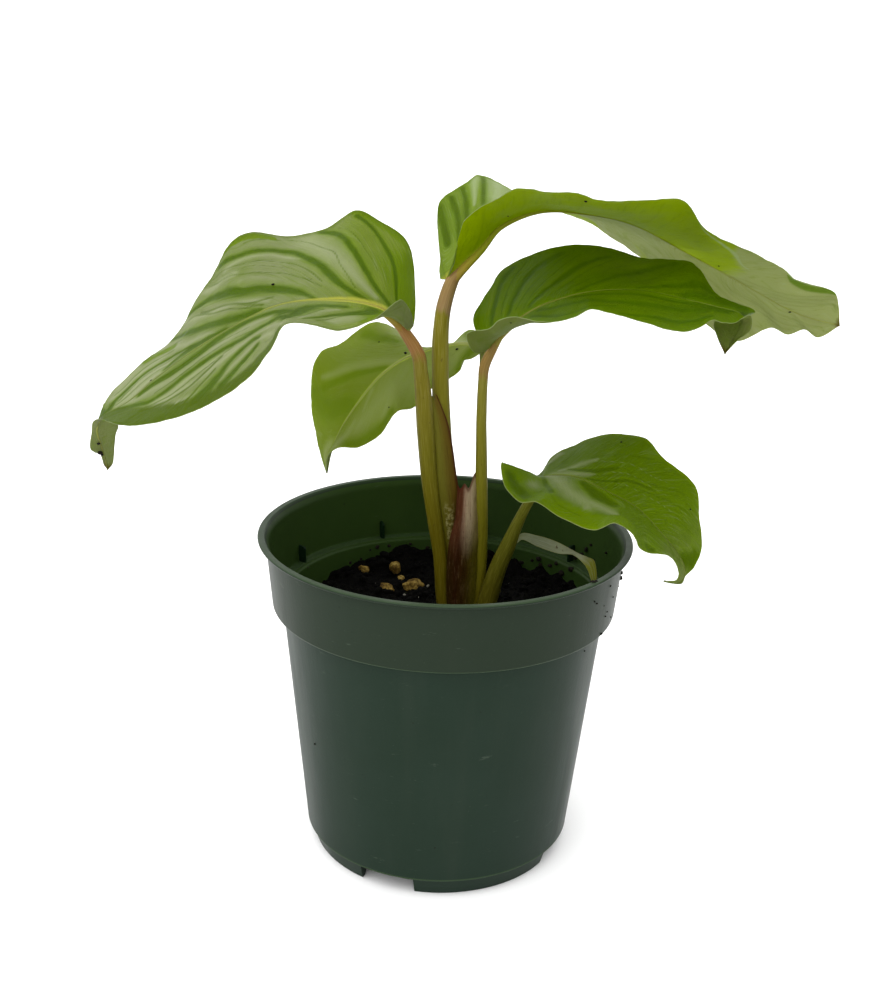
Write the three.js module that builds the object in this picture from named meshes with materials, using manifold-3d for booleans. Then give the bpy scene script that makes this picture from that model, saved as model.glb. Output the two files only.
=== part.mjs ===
// Calathea orbifolia with five leaves, in a round nursery pot.
// Millimetres, +Z up, +Y away from the viewer. The origin is on the pot's axis, under its foot.
import * as THREE from 'three';
import { mergeVertices } from 'three/addons/utils/BufferGeometryUtils.js';
import Module from 'manifold-3d';

const wasm = await Module();
wasm.setup();

// Pot: a 6 inch nursery pot, 165 mm over the lip
const potSides = 48;
const lipRadius = 82.5;
const lipInnerRadius = 79.3;
const lipThickness = 1.3;
const potHeight = 147.3;
const bandTopRadius = 79.1;
const bandBottomRadius = 76;
const bandBottom = 115.7;
const bodyTopRadius = 71.8;
const bodyBottomRadius = 60.8;
const footHeight = 8.9;
const footRadius = 57.2;
const footRingWidth = 2.4;
const potWall = 1.5;
const ledgeHeight = 119;
const floorUnderside = 3;
const floorTop = 5;
const padRadius = 12;

// Drain notches through the foot, and ribs on the ledge that keep stacked pots apart
const notchCount = 4;
const notchWidth = 25;
const notchHeight = 8;
const notchDepth = 14;
const firstNotch = -111.5;
const ribCount = 9;
const ribHeight = 8;
const ribDepth = 3;
const ribWidth = 1.6;
const firstRib = -5;

// Soil and what lies in it
const soilLevel = 107;
const gap = 0.3;
const holeClearance = 0.4;
const clodCount = 34;
const clodRing = [28, 66];
const clodSize = [1.6, 3.6];
const barkChips = [[-24, 62, 3.2], [-14, 34, 3.4], [-27, 28, 2.8], [-38, 50, 2.8], [34, 40, 2.6], [6, -44, 3]];
const clumpCentre = [11, 4];

// Leaves: thickness of the blade, depth of the raised midrib under it, and how finely each is drawn
const bladeThickness = 0.8;
const keelDepth = 1.1;
const keelTipDepth = 0.2;
const lobeRows = 5;
const bladeRows = 18;
const acrossShares = [0.07, 0.25, 0.5, 0.76, 1];

// Each leaf is given by points chosen along its midrib and along its two margins, from the base to the tip.
// A margin point is x, y, z and the share of the midrib where the vein that ends there begins;
// a fifth number curls that vein out of its straight line, as a share of its length.
const leaves = {
  left: {
    green: 0x6f9a3f,
    midrib: [
      [-18, 0, 237], [-22, -1, 241], [-31, -2, 247], [-47, -6, 250], [-72, -12, 248], [-97, -18, 235.5],
      [-117.5, -23, 221], [-132, -26, 209], [-143, -22, 202], [-148, -14, 194], [-148, -9, 185],
      [-146, -8, 175],
    ],
    leftMargin: [
      [-16, -4, 240, 0], [-17, -11, 247, 0, -0.1], [-20, -18, 253, 0, -0.15], [-22, -24, 254, 0.02, -0.15],
      [-30, -35, 249, 0.09, -0.1], [-43, -50, 247, 0.18], [-56, -59, 251, 0.27], [-63, -61, 250.5, 0.31],
      [-68.5, -61, 240.5, 0.37], [-80, -60, 227, 0.46], [-98, -56, 215, 0.58], [-117, -52, 208, 0.69],
      [-132, -41, 204, 0.79], [-144, -23, 201, 0.86], [-150, -14, 193, 0.91], [-152, -12, 186, 0.94],
      [-150, -11, 184, 0.96], [-148, -9, 180, 0.98], [-146, -8, 175, 1],
    ],
    rightMargin: [
      [-16, 3, 240, 0], [-16, 19, 248, 0], [-18.5, 34, 263.5, 0.02], [-22, 38, 270.5, 0.05],
      [-33, 41, 277, 0.1], [-44, 43, 281, 0.16], [-56, 44, 273, 0.22], [-73, 42, 269, 0.3],
      [-89, 35, 271, 0.37], [-98, 31, 266, 0.41], [-105.5, 29, 252, 0.47], [-112, 26, 242.5, 0.52],
      [-119, 14, 229, 0.6], [-131, 1, 219.5, 0.69], [-138, -5, 213, 0.75], [-144, -9, 206.5, 0.79],
      [-144, -17, 203, 0.86], [-140, -9, 195, 0.9], [-143, -6, 183, 0.95], [-146, -8, 175, 1],
    ],
  },
  top_right: {
    green: 0x6f8a2c,
    midrib: [
      [-3, 4, 258.5], [3, 3, 265], [10, 3, 272], [18, 5, 281], [33, 8, 287], [48, 12, 287], [74, 18, 282],
      [101, 24, 269], [127, 28, 256], [153, 32, 243], [172, 34, 238],
    ],
    leftMargin: [
      [-5.5, 6.5, 258, 0], [-6, 11, 261.5, 0], [-6, 17, 267, 0], [-7.5, 26, 276.5, 0.01],
      [-7.5, 34, 285, 0.03], [-5, 38, 288.5, 0.05], [0, 43, 291.5, 0.07], [5, 48, 294, 0.1],
      [9.5, 51, 297, 0.13], [25, 61, 290, 0.2], [43, 66, 282, 0.28], [60, 68, 276, 0.35], [72, 69, 269, 0.41],
      [91, 68, 257, 0.49], [115, 61, 234, 0.61], [130, 47, 227, 0.69], [144, 44, 234, 0.76],
      [151, 40, 232, 0.81], [158, 38, 235, 0.86], [163, 32, 233, 0.92], [172, 34, 238, 1],
    ],
    rightMargin: [
      [-1.5, 1, 261.5, 0], [0.5, -2, 268, 0], [1, -7, 275, 0.02], [2, -12, 280.5, 0.05],
      [3.5, -18, 285.5, 0.08], [9, -27, 292, 0.12], [16, -33, 296.5, 0.17], [22, -37, 300.5, 0.21],
      [28, -38, 301, 0.25], [34, -38, 300, 0.29], [45, -36, 299.5, 0.35], [55, -34, 297, 0.4],
      [75, -27, 297, 0.49], [89, -19, 296, 0.56], [101, -14, 284, 0.62], [121, -4, 275, 0.7],
      [137, 5, 267, 0.77], [144, 11, 262, 0.81], [166, 28, 254, 0.93], [170, 32, 247, 0.97], [172, 34, 238, 1],
    ],
  },
  middle_right: {
    green: 0x3f6f0e,
    midrib: [
      [16, -4, 232], [20, -5, 238], [29, -7, 246], [38, -10, 252], [55, -13, 258], [75, -17, 260],
      [95, -20, 257], [108, -21, 253], [114, -19, 249], [115, -16, 242], [112, -14, 235],
    ],
    leftMargin: [
      [13, 0, 233, 0], [9.5, 7, 238, 0], [9, 12, 241.5, 0], [12, 19, 246, 0.02], [17, 24, 253, 0.06],
      [21, 28, 259, 0.1], [31.5, 30, 265, 0.17], [43.5, 30, 269, 0.25], [57, 29, 271, 0.34],
      [67, 27, 270, 0.41], [80, 22, 267, 0.5], [98.5, 11, 268, 0.64], [102.5, 8, 265.5, 0.68],
      [105, 4, 262, 0.71], [109, -7, 254, 0.77], [116, -13, 252.5, 0.82], [123.5, -15, 250, 0.87],
      [120, -13, 243, 0.95], [112, -14, 235, 1],
    ],
    rightMargin: [
      [14, -8, 231, 0], [9, -16, 232.5, 0, -0.1], [6, -24, 241.5, 0.01, -0.15], [14, -37, 246.5, 0.07, -0.18],
      [18, -41, 251, 0.11, -0.2], [24, -44, 253, 0.15, -0.2], [35, -50, 252.5, 0.24, -0.15],
      [46, -52, 255, 0.32, -0.08], [52, -54, 258.5, 0.36, -0.06], [59, -54, 257.5, 0.41, -0.03],
      [73, -53, 254, 0.52], [87, -48, 250, 0.63], [96, -43, 250, 0.7], [104, -34, 251, 0.8],
      [107, -17, 243, 0.93], [112, -14, 235, 1],
    ],
  },
  back_left: {
    green: 0x5f8a2f,
    midrib: [
      [15, 24, 225], [7, 26, 227], [-3, 29, 225], [-14, 31, 221], [-23, 33, 216], [-32, 35, 208],
      [-41, 37, 196], [-49, 38, 183], [-54, 38, 171], [-56, 37, 161],
    ],
    leftMargin: [
      [13, 19, 224, 0], [9, 17, 222, 0.01], [5, 16, 221, 0.04], [4, 15, 217, 0.09], [-1, 14, 213, 0.16],
      [-9, 13, 208, 0.25], [-16, 13, 200, 0.34], [-23, 13, 198, 0.42], [-30, 16, 187, 0.53],
      [-40, 21, 179, 0.66], [-50, 28, 176, 0.8], [-55, 33, 170, 0.9], [-56, 37, 161, 1],
    ],
    rightMargin: [
      [14, 28, 227, 0], [11, 37, 230, 0.01], [6, 49, 227, 0.05], [-2, 54, 218, 0.13], [-11, 58, 214, 0.2],
      [-23, 64, 222, 0.29], [-34, 65, 227, 0.37], [-41, 66, 224.5, 0.42], [-52, 66, 216, 0.49],
      [-61, 65, 212, 0.55], [-65, 62, 203, 0.63], [-65, 59, 185, 0.74], [-61, 50, 170, 0.86],
      [-58, 44, 163, 0.93], [-56, 37, 161, 1],
    ],
  },
  lower_right: {
    green: 0x6a9a1c,
    midrib: [
      [40, -16, 179], [46, -18, 181], [55, -21, 181], [66, -24, 177], [79, -27, 171], [89, -30, 162],
      [99, -31, 150], [101, -32, 143], [98, -33, 140], [92, -34, 141],
    ],
    leftMargin: [
      [38, -11, 178, 0], [41, -5, 178.5, 0], [46.5, 5, 183, 0.03], [56, 11, 186, 0.1], [66, 10, 191, 0.2],
      [78, 6, 193, 0.3], [86, 3, 192, 0.38], [93, -1, 185, 0.46], [106, -11, 176, 0.58], [108, -17, 163, 0.66],
      [108, -27, 154, 0.74], [105, -29, 145.5, 0.81], [101.5, -31, 142.5, 0.86], [99.5, -33, 139.5, 0.92],
      [92, -34, 141, 1],
    ],
    rightMargin: [
      [36, -19, 180, 0], [27, -27, 186, 0], [22, -31, 190, 0], [23, -39, 183, 0.04], [29, -45, 178, 0.09],
      [36, -48, 179, 0.14], [45, -50, 174, 0.24], [59, -53, 170, 0.37], [67, -53, 173, 0.45],
      [74, -52, 169, 0.54], [79, -50, 161, 0.61], [92, -42, 155, 0.74], [98, -35, 145, 0.83],
      [97, -35, 142, 0.9], [92, -34, 141, 1],
    ],
  },
};

// Stalks: points on the centre line and the radius there, from the rootstock up to the blade
const stalkSides = 10;
const stalkRings = 15;
const stalks = {
  left: [
    [3.5, 0, 98, 3.2], [0.3, 0, 112, 3.15], [-2.1, 0, 136, 3.1], [-5.1, 0, 154, 3.3], [-8, 0, 174, 3.6],
    [-10, 0, 194, 3.8], [-11.3, 0, 209, 3.6], [-12.6, 0, 219, 3], [-13.8, 0, 227, 2.9], [-17.2, 0, 235, 2.3],
  ],
  top_right: [
    [7.5, 8, 98, 3.9], [6.2, 8, 112, 3.9], [2.9, 8, 145, 3.8], [-0.7, 7.5, 174, 3.75], [-3.1, 7, 197, 3.8],
    [-4.2, 7, 214, 3.7], [-4.7, 7, 229, 3.6], [-4.5, 6, 238, 3.3], [-3.6, 5, 247, 3.1], [-3.3, 4.3, 256.3, 2.8],
  ],
  middle_right: [
    [14, 3.5, 98, 2.9], [14.3, 4, 112, 2.95], [15.8, 4, 126, 2.9], [15.9, 3, 143, 2.9], [15.2, 1, 165, 2.75],
    [14.2, -1, 190, 2.4], [13.8, -2, 201, 2.25], [13.8, -3, 217, 2.1], [14.3, -4, 224, 2.2], [15.6, -4, 230.2, 1.9],
  ],
  back_left: [
    [17.5, 12, 98, 2.3], [17.3, 12, 110, 2.3], [16.2, 14, 139, 2.25], [15, 19, 185, 2], [14.5, 22, 210, 1.9],
    [15.1, 24, 223.1, 1.6],
  ],
  lower_right: [
    [17.5, -4, 98, 4.4], [18.6, -3.2, 110, 4.5], [19.7, -3, 116, 4.4], [23.3, -5, 132, 3.85],
    [27.3, -7, 144, 3.4], [30.8, -9, 155, 2.6], [34.9, -12, 166, 2.05], [39.1, -15.5, 177.1, 1.7],
  ],
};
const rootstock = [[-3, -1, 88, 3], [3, 1, 89, 6.5], [11, 4, 89.5, 7.8], [19, 6, 89, 7], [25, 8, 88, 3.5]];

// Dry sheaths and the withered leaf: strips between two edges, each edge from its foot to its top
const sheathRows = 14;
const sheathThickness = 0.7;
const leftSheath = [
  [[4, 0, 110], [2.3, 0, 125], [0.9, 0, 143], [-1.6, 0, 158], [-4, 0, 175], [-5.6, 0, 196], [-6.6, 0.6, 208]],
  [[6, -0.4, 110], [4, -0.4, 128], [2.6, -0.4, 146], [1.6, -0.4, 161], [0, -0.4, 173], [-2.8, -0.2, 195],
    [-6.2, 0.8, 209]],
  [[8.5, 2, 110], [6.1, 2, 129], [4.4, 2, 146], [5.5, 2, 161], [4.2, 2, 172], [0, 2, 195], [-5.8, 1.2, 209.5]],
];
const paperySheath = [
  [[9, -0.5, 110], [7.4, -0.6, 127], [6.4, -0.6, 143], [6, -0.6, 161], [5.6, 0, 171]],
  [[10.4, -3, 110], [10, -3, 127], [9.8, -3, 143], [9.2, -2.6, 161], [8.4, -2, 175]],
  [[12, -0.2, 110], [12, 0, 134], [11.8, 0.2, 153], [11.3, 0.6, 171], [11, 0.8, 180]],
];
const witheredLeaf = [
  [[21, 7, 110], [26, 8, 124], [33, 6, 140], [44, 3, 142.6], [53, -4, 141.4], [62, -15, 139.6], [65, -20, 133],
    [67, -23, 122]],
  [[20, 8, 111], [25, 9.6, 125], [32, 8, 142.6], [45, 5.4, 145.6], [55, -1.6, 144.6], [64.6, -13, 142.6],
    [67.6, -19, 135], [67.6, -22.6, 121.6]],
];

const rad = THREE.MathUtils.degToRad;

// A smooth curve through keys [x, value, value, ...]; the slope at a key is that of the line past it,
// or with steady true, one that never lets a rising value fall back
function curveThrough(keys, steady = false) {
  const width = keys[0].length - 1;
  const last = keys.length - 1;
  const slopeBetween = (a, b, k) => (keys[b][k + 1] - keys[a][k + 1]) / (keys[b][0] - keys[a][0]);
  const slopes = keys.map((key, i) => Array.from({ length: width }, (_, k) => {
    const a = Math.max(i - 1, 0);
    const b = Math.min(i + 1, last);
    if (!steady || a === i || b === i) return slopeBetween(a, b, k);
    const before = slopeBetween(a, i, k);
    const after = slopeBetween(i, b, k);
    return before * after > 0 ? (2 * before * after) / (before + after) : 0;
  }));
  return (x) => {
    const at = THREE.MathUtils.clamp(x, keys[0][0], keys[last][0]);
    let i = 0;
    while (i < last - 1 && at >= keys[i + 1][0]) i += 1;
    const span = keys[i + 1][0] - keys[i][0];
    const t = (at - keys[i][0]) / span;
    const t2 = t * t;
    const t3 = t2 * t;
    return Array.from({ length: width }, (_, k) => (2 * t3 - 3 * t2 + 1) * keys[i][k + 1]
      + (t3 - 2 * t2 + t) * span * slopes[i][k]
      + (3 * t2 - 2 * t3) * keys[i + 1][k + 1]
      + (t3 - t2) * span * slopes[i + 1][k]);
  };
}

const vector = (point) => new THREE.Vector3(point[0], point[1], point[2]);

// Where each point lies along the line through all of them, as a share of the whole length
function shares(points) {
  const steps = points.map((p, i) => (i ? vector(p).distanceTo(vector(points[i - 1])) : 0));
  const total = steps.reduce((sum, step) => sum + step, 0);
  let run = 0;
  return steps.map((step) => {
    run += step;
    return run / total;
  });
}

function curveAlong(points) {
  const at = shares(points);
  return curveThrough(points.map((p, i) => [at[i], ...p]));
}

function geometryOf(points, faces) {
  const geometry = new THREE.BufferGeometry();
  geometry.setAttribute('position', new THREE.Float32BufferAttribute(points.flatMap((p) => [p.x, p.y, p.z]), 3));
  geometry.setIndex(faces.flat());
  return geometry;
}

// A thin solid around a surface: up(i) and down(i) are the distances to its two faces at point i
function shell(points, faces, up, down) {
  const normals = points.map(() => new THREE.Vector3());
  const edges = new Set();
  for (const face of faces) {
    const [a, b, c] = face.map((i) => points[i]);
    const normal = b.clone().sub(a).cross(c.clone().sub(a));
    face.forEach((i, k) => {
      normals[i].add(normal);
      edges.add(`${i} ${face[(k + 1) % 3]}`);
    });
  }
  normals.forEach((normal) => normal.normalize());
  const upper = points.map((p, i) => p.clone().addScaledVector(normals[i], up(i)));
  const lower = points.map((p, i) => p.clone().addScaledVector(normals[i], -down(i)));
  const under = points.length;
  const all = [...faces];
  for (const [a, b, c] of faces) all.push([a + under, c + under, b + under]);
  for (const edge of edges) {
    const [a, b] = edge.split(' ').map(Number);
    if (edges.has(`${b} ${a}`)) continue;
    all.push([a, a + under, b + under]);
    all.push([a, b + under, b]);
  }
  return geometryOf([...upper, ...lower], all);
}

// One half of a blade: its margin, the start of each vein on the midrib, and the vein's curl
function halfBlade(margin) {
  const at = shares(margin);
  const edge = curveThrough(margin.map((p, i) => [at[i], p[0], p[1], p[2]]));
  const foot = curveThrough(margin.map((p, i) => [at[i], p[3]]), true);
  const curl = curveThrough(margin.map((p, i) => [at[i], p[4] ?? 0]));
  return { edge: (t) => vector(edge(t)), foot: (t) => foot(t)[0], curl: (t) => curl(t)[0] };
}

// The place on the margin whose vein starts at this share of the midrib
function placeOfFoot(half, share) {
  let low = 0;
  let high = 1;
  for (let i = 0; i < 40; i += 1) {
    const middle = (low + high) / 2;
    if (half.foot(middle) < share) low = middle;
    else high = middle;
  }
  return high;
}

// A point on a vein, a share s of the way from the midrib to the margin
function veinPoint(rib, half, side, t, s) {
  const reach = 0.004;
  const start = half.foot(t);
  const from = vector(rib(start));
  const along = vector(rib(Math.min(start + reach, 1))).sub(vector(rib(Math.max(start - reach, 0)))).normalize();
  const chord = half.edge(t).sub(from);
  const normal = along.cross(chord).multiplyScalar(side);
  if (normal.length() > 1e-6) normal.normalize();
  const bend = 2 * s * (1 - s) * half.curl(t) * chord.length();
  return from.addScaledVector(chord, s).addScaledVector(normal, bend);
}

// The blade's middle surface, as rows of points from the right margin over the midrib to the left one
function bladeGeometry(leaf) {
  const rib = curveAlong(leaf.midrib);
  const left = halfBlade(leaf.leftMargin);
  const right = halfBlade(leaf.rightMargin);
  const lobeEnd = { left: placeOfFoot(left, 0.001), right: placeOfFoot(right, 0.001) };
  const rows = [];
  for (let i = 0; i < lobeRows; i += 1) {
    rows.push({ foot: 0, left: (lobeEnd.left * i) / lobeRows, right: (lobeEnd.right * i) / lobeRows });
  }
  for (let i = 0; i <= bladeRows; i += 1) {
    const x = i / bladeRows;
    const here = { left: lobeEnd.left + (1 - lobeEnd.left) * x, right: lobeEnd.right + (1 - lobeEnd.right) * x };
    const foot = (left.foot(here.left) + right.foot(here.right)) / 2;
    if (i === 0 || i === bladeRows) rows.push({ foot: i ? 1 : 0, ...here });
    else rows.push({ foot, left: placeOfFoot(left, foot), right: placeOfFoot(right, foot) });
  }
  const points = [vector(rib(0))];
  const ribIndex = [0];
  const grid = rows.map((row, i) => {
    if (i === rows.length - 1) {
      points.push(vector(rib(1)));
      ribIndex.push(points.length - 1);
      return Array(acrossShares.length * 2 + 1).fill(points.length - 1);
    }
    const add = (point) => points.push(point) - 1;
    const rightSide = acrossShares.map((s) => add(veinPoint(rib, right, -1, row.right, s)));
    const leftSide = acrossShares.map((s) => add(veinPoint(rib, left, 1, row.left, s)));
    const centre = i <= lobeRows ? 0 : add(vector(rib(row.foot)));
    if (i > lobeRows) ribIndex.push(centre);
    return [...rightSide.reverse(), centre, ...leftSide];
  });
  const faces = [];
  const addFace = (a, b, c) => {
    if (a !== b && b !== c && c !== a) faces.push([a, b, c]);
  };
  for (let i = 0; i < grid.length - 1; i += 1) {
    for (let j = 0; j < grid[0].length - 1; j += 1) {
      const [a, b, c, d] = [grid[i][j], grid[i + 1][j], grid[i + 1][j + 1], grid[i][j + 1]];
      addFace(a, b, c);
      addFace(a, c, d);
    }
  }
  const keel = new Map(ribIndex.map((index, k) => {
    const along = k / (ribIndex.length - 1);
    return [index, keelDepth + (keelTipDepth - keelDepth) * along];
  }));
  const half = bladeThickness / 2;
  return shell(points, faces, () => half, (i) => half + (keel.get(i) ?? 0));
}

// A round tube along points [x, y, z, radius], with flat ends
function tubeGeometry(path, sides, rings, grow = 0) {
  const at = curveAlong(path);
  const points = [];
  const faces = [];
  for (let i = 0; i < rings; i += 1) {
    const t = i / (rings - 1);
    const here = at(t);
    const along = vector(at(Math.min(t + 0.01, 1))).sub(vector(at(Math.max(t - 0.01, 0)))).normalize();
    const side = along.clone().cross(new THREE.Vector3(0, 1, 0)).normalize();
    const front = side.clone().cross(along);
    for (let j = 0; j < sides; j += 1) {
      const angle = (2 * Math.PI * j) / sides;
      points.push(vector(here).addScaledVector(side, Math.cos(angle) * (here[3] + grow))
        .addScaledVector(front, Math.sin(angle) * (here[3] + grow)));
    }
  }
  const ring = (i, j) => i * sides + (j % sides);
  for (let i = 0; i < rings - 1; i += 1) {
    for (let j = 0; j < sides; j += 1) {
      faces.push([ring(i, j), ring(i + 1, j + 1), ring(i, j + 1)]);
      faces.push([ring(i, j), ring(i + 1, j), ring(i + 1, j + 1)]);
    }
  }
  for (let j = 1; j < sides - 1; j += 1) {
    faces.push([ring(0, 0), ring(0, j), ring(0, j + 1)]);
    faces.push([ring(rings - 1, 0), ring(rings - 1, j + 1), ring(rings - 1, j)]);
  }
  return geometryOf(points, faces);
}

// A thin strip between edges that run the same way
function stripGeometry(edgeLines, rows, thickness) {
  const edges = edgeLines.map(curveAlong);
  const points = [];
  const faces = [];
  for (let i = 0; i <= rows; i += 1) edges.forEach((edge) => points.push(vector(edge(i / rows))));
  const across = edges.length;
  for (let i = 0; i < rows; i += 1) {
    for (let j = 0; j < across - 1; j += 1) {
      const a = i * across + j;
      faces.push([a, a + 1, a + across + 1]);
      faces.push([a, a + across + 1, a + across]);
    }
  }
  return shell(points, faces, () => thickness / 2, () => thickness / 2);
}

// Turns a profile of [radius, height] about the vertical axis
function turned(profile, sides) {
  const geometry = new THREE.LatheGeometry(profile.map(([r, z]) => new THREE.Vector2(r, z)), sides);
  return geometry.rotateX(Math.PI / 2);
}

function solid(geometry) {
  const plain = geometry.clone();
  plain.deleteAttribute('normal');
  plain.deleteAttribute('uv');
  const merged = mergeVertices(plain, 1e-4);
  const index = merged.index.array;
  const triangles = [];
  for (let i = 0; i < index.length; i += 3) {
    const [a, b, c] = [index[i], index[i + 1], index[i + 2]];
    if (a !== b && b !== c && c !== a) triangles.push(a, b, c);
  }
  return new wasm.Manifold(new wasm.Mesh({
    numProp: 3,
    vertProperties: new Float32Array(merged.attributes.position.array),
    triVerts: new Uint32Array(triangles),
  }));
}

function geometryFrom(manifold) {
  const mesh = manifold.getMesh();
  const geometry = new THREE.BufferGeometry();
  geometry.setAttribute('position', new THREE.BufferAttribute(new Float32Array(mesh.vertProperties), 3));
  geometry.setIndex(new THREE.BufferAttribute(new Uint32Array(mesh.triVerts), 1));
  return geometry;
}

const mixLine = (z, z0, r0, z1, r1) => r0 + ((r1 - r0) * (z - z0)) / (z1 - z0);
const bodyRadius = (z) => mixLine(z, footHeight, bodyBottomRadius, bandBottom, bodyTopRadius);
const bandRadius = (z) => mixLine(z, bandBottom, bandBottomRadius, potHeight - lipThickness, bandTopRadius);
const footInside = footRadius - footRingWidth;

// Pot: lip, band, step, tapered body and foot in one moulding
function potGeometry() {
  const lipBottom = potHeight - lipThickness;
  const profile = [
    [0, 0], [padRadius, 0], [padRadius + 1.5, floorUnderside], [footInside - 1.5, floorUnderside],
    [footInside, 0], [footRadius, 0], [bodyBottomRadius - 1.2, footHeight - 0.5], [bodyBottomRadius, footHeight],
    [bodyTopRadius, bandBottom - 0.1], [bandBottomRadius, bandBottom], [bandTopRadius, lipBottom],
    [lipRadius - 0.2, lipBottom], [lipRadius, potHeight - 0.6], [lipRadius - 0.3, potHeight],
    [lipInnerRadius, potHeight], [bandRadius(lipBottom - 2) - potWall, lipBottom - 2],
    [bandRadius(ledgeHeight) - potWall, ledgeHeight], [bodyTopRadius - potWall, ledgeHeight - 1.2],
    [bodyRadius(footHeight + 2) - potWall, footHeight + 2], [footRadius - 0.2, floorTop], [0, floorTop],
  ];
  let pot = solid(turned(profile, potSides));
  for (let i = 0; i < notchCount; i += 1) {
    const notch = new THREE.BoxGeometry(notchDepth, notchWidth, notchHeight + 1);
    notch.translate(footRadius, 0, (notchHeight - 1) / 2).rotateZ(rad(firstNotch + (360 / notchCount) * i));
    pot = pot.subtract(solid(notch));
  }
  const ribOuter = bandRadius(ledgeHeight) - potWall / 2;
  for (let i = 0; i < ribCount; i += 1) {
    const rib = new THREE.BoxGeometry(ribDepth + potWall / 2, ribWidth, ribHeight + 1);
    rib.translate(ribOuter - ribDepth / 2, 0, ledgeHeight + ribHeight / 2 - 0.8);
    rib.rotateZ(rad(firstRib + (360 / ribCount) * i));
    pot = pot.add(solid(rib));
  }
  return geometryFrom(pot);
}

// Height of the soil: higher at the back, with gentle lumps
function soilHeight(x, y) {
  const lumps = 1.1 * Math.sin(x * 0.13 + 1) * Math.cos(y * 0.11 + 2) + 0.7 * Math.sin(x * 0.29 + y * 0.21);
  return soilLevel + 0.03 * y + lumps;
}

// A seeded source of even numbers from 0 to 1
function seededRandom(seed) {
  let state = seed;
  return () => {
    state = (state * 1664525 + 1013904223) % 4294967296;
    return state / 4294967296;
  };
}

// A rough lump: eight or twenty flat faces, squashed and turned
function lump(detailed, x, y, z, size, random) {
  const shape = detailed ? new THREE.IcosahedronGeometry(1, 0) : new THREE.OctahedronGeometry(1, 0);
  shape.scale(size * (0.8 + 0.4 * random()), size * (0.7 + 0.3 * random()), size * 0.7);
  shape.rotateX(random() - 0.5).rotateZ(2 * Math.PI * random());
  return shape.translate(x, y, z);
}

// Soil: fills the pot, with clods and bark chips half sunk in it, and plain holes where the stalks stand
function soilGeometry() {
  const bottom = floorTop + gap;
  const edge = (z) => bodyRadius(z) - potWall - gap;
  const rings = [64, 55, 46, 37, 28, 19, 10];
  const profile = [
    [0, bottom], [footRadius - 0.7, bottom], [edge(footHeight + 2), footHeight + 2.2], [edge(soilLevel), soilLevel],
    ...rings.map((r) => [r, soilLevel]), [0, soilLevel],
  ];
  const body = turned(profile, potSides);
  const place = body.attributes.position;
  for (let i = 0; i < place.count; i += 1) {
    if (place.getZ(i) < soilLevel - 1) continue;
    const x = place.getX(i);
    const y = place.getY(i);
    const keep = THREE.MathUtils.clamp((edge(soilLevel) - Math.hypot(x, y)) / 6, 0, 1);
    place.setZ(i, soilLevel + (soilHeight(x, y) - soilLevel) * keep);
  }
  let soil = solid(body);
  const random = seededRandom(11);
  for (let i = 0; i < clodCount; i += 1) {
    const radius = clodRing[0] + (clodRing[1] - clodRing[0]) * random();
    const angle = 2 * Math.PI * random();
    const size = clodSize[0] + (clodSize[1] - clodSize[0]) * random();
    const [x, y] = [radius * Math.cos(angle), radius * Math.sin(angle)];
    if (Math.hypot(x - clumpCentre[0], y - clumpCentre[1]) < 22) continue;
    soil = soil.add(solid(lump(false, x, y, soilHeight(x, y), size, random)));
  }
  for (const [x, y, size] of barkChips) {
    soil = soil.add(solid(lump(true, x, y, soilHeight(x, y) + 0.3, size, random)));
  }
  const sunken = solid(tubeGeometry(rootstock, stalkSides, stalkRings, holeClearance));
  soil = soil.subtract(sunken);
  for (const path of Object.values(stalks)) {
    const [x, y, z, r] = path[0];
    const foot = tubeGeometry([[x, y, z - 2, r], [x, y, z + 1, r]], stalkSides, 2, holeClearance);
    soil = soil.subtract(solid(foot)).subtract(solid(tubeGeometry(path, stalkSides, stalkRings, holeClearance)));
  }
  return geometryFrom(soil);
}

const plant = new THREE.Group();

function addPiece(name, geometry, color, roughness) {
  const material = new THREE.MeshStandardMaterial({ color, roughness, metalness: 0 });
  const mesh = new THREE.Mesh(geometry, material);
  mesh.name = name;
  plant.add(mesh);
}

addPiece('pot', potGeometry(), 0x2e4a38, 0.45);
addPiece('soil', soilGeometry(), 0x1c1815, 0.95);
addPiece('rootstock', tubeGeometry(rootstock, stalkSides, stalkRings), 0x8a6a45, 0.8);
for (const [name, leaf] of Object.entries(leaves)) {
  addPiece(`blade_${name}`, bladeGeometry(leaf), leaf.green, 0.5);
}
for (const [name, path] of Object.entries(stalks)) {
  addPiece(`stalk_${name}`, tubeGeometry(path, stalkSides, stalkRings), 0x7a7a35, 0.55);
}
addPiece('sheath_left', stripGeometry(leftSheath, sheathRows, sheathThickness), 0x6b5a30, 0.7);
addPiece('sheath_papery', stripGeometry(paperySheath, sheathRows, sheathThickness), 0x8a5a48, 0.75);
addPiece('withered_leaf', stripGeometry(witheredLeaf, sheathRows, sheathThickness), 0x7f8f4a, 0.7);

export default plant;
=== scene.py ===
import math
import random

import bmesh
import bpy
import numpy as np
from mathutils import Matrix, Vector, noise


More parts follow.
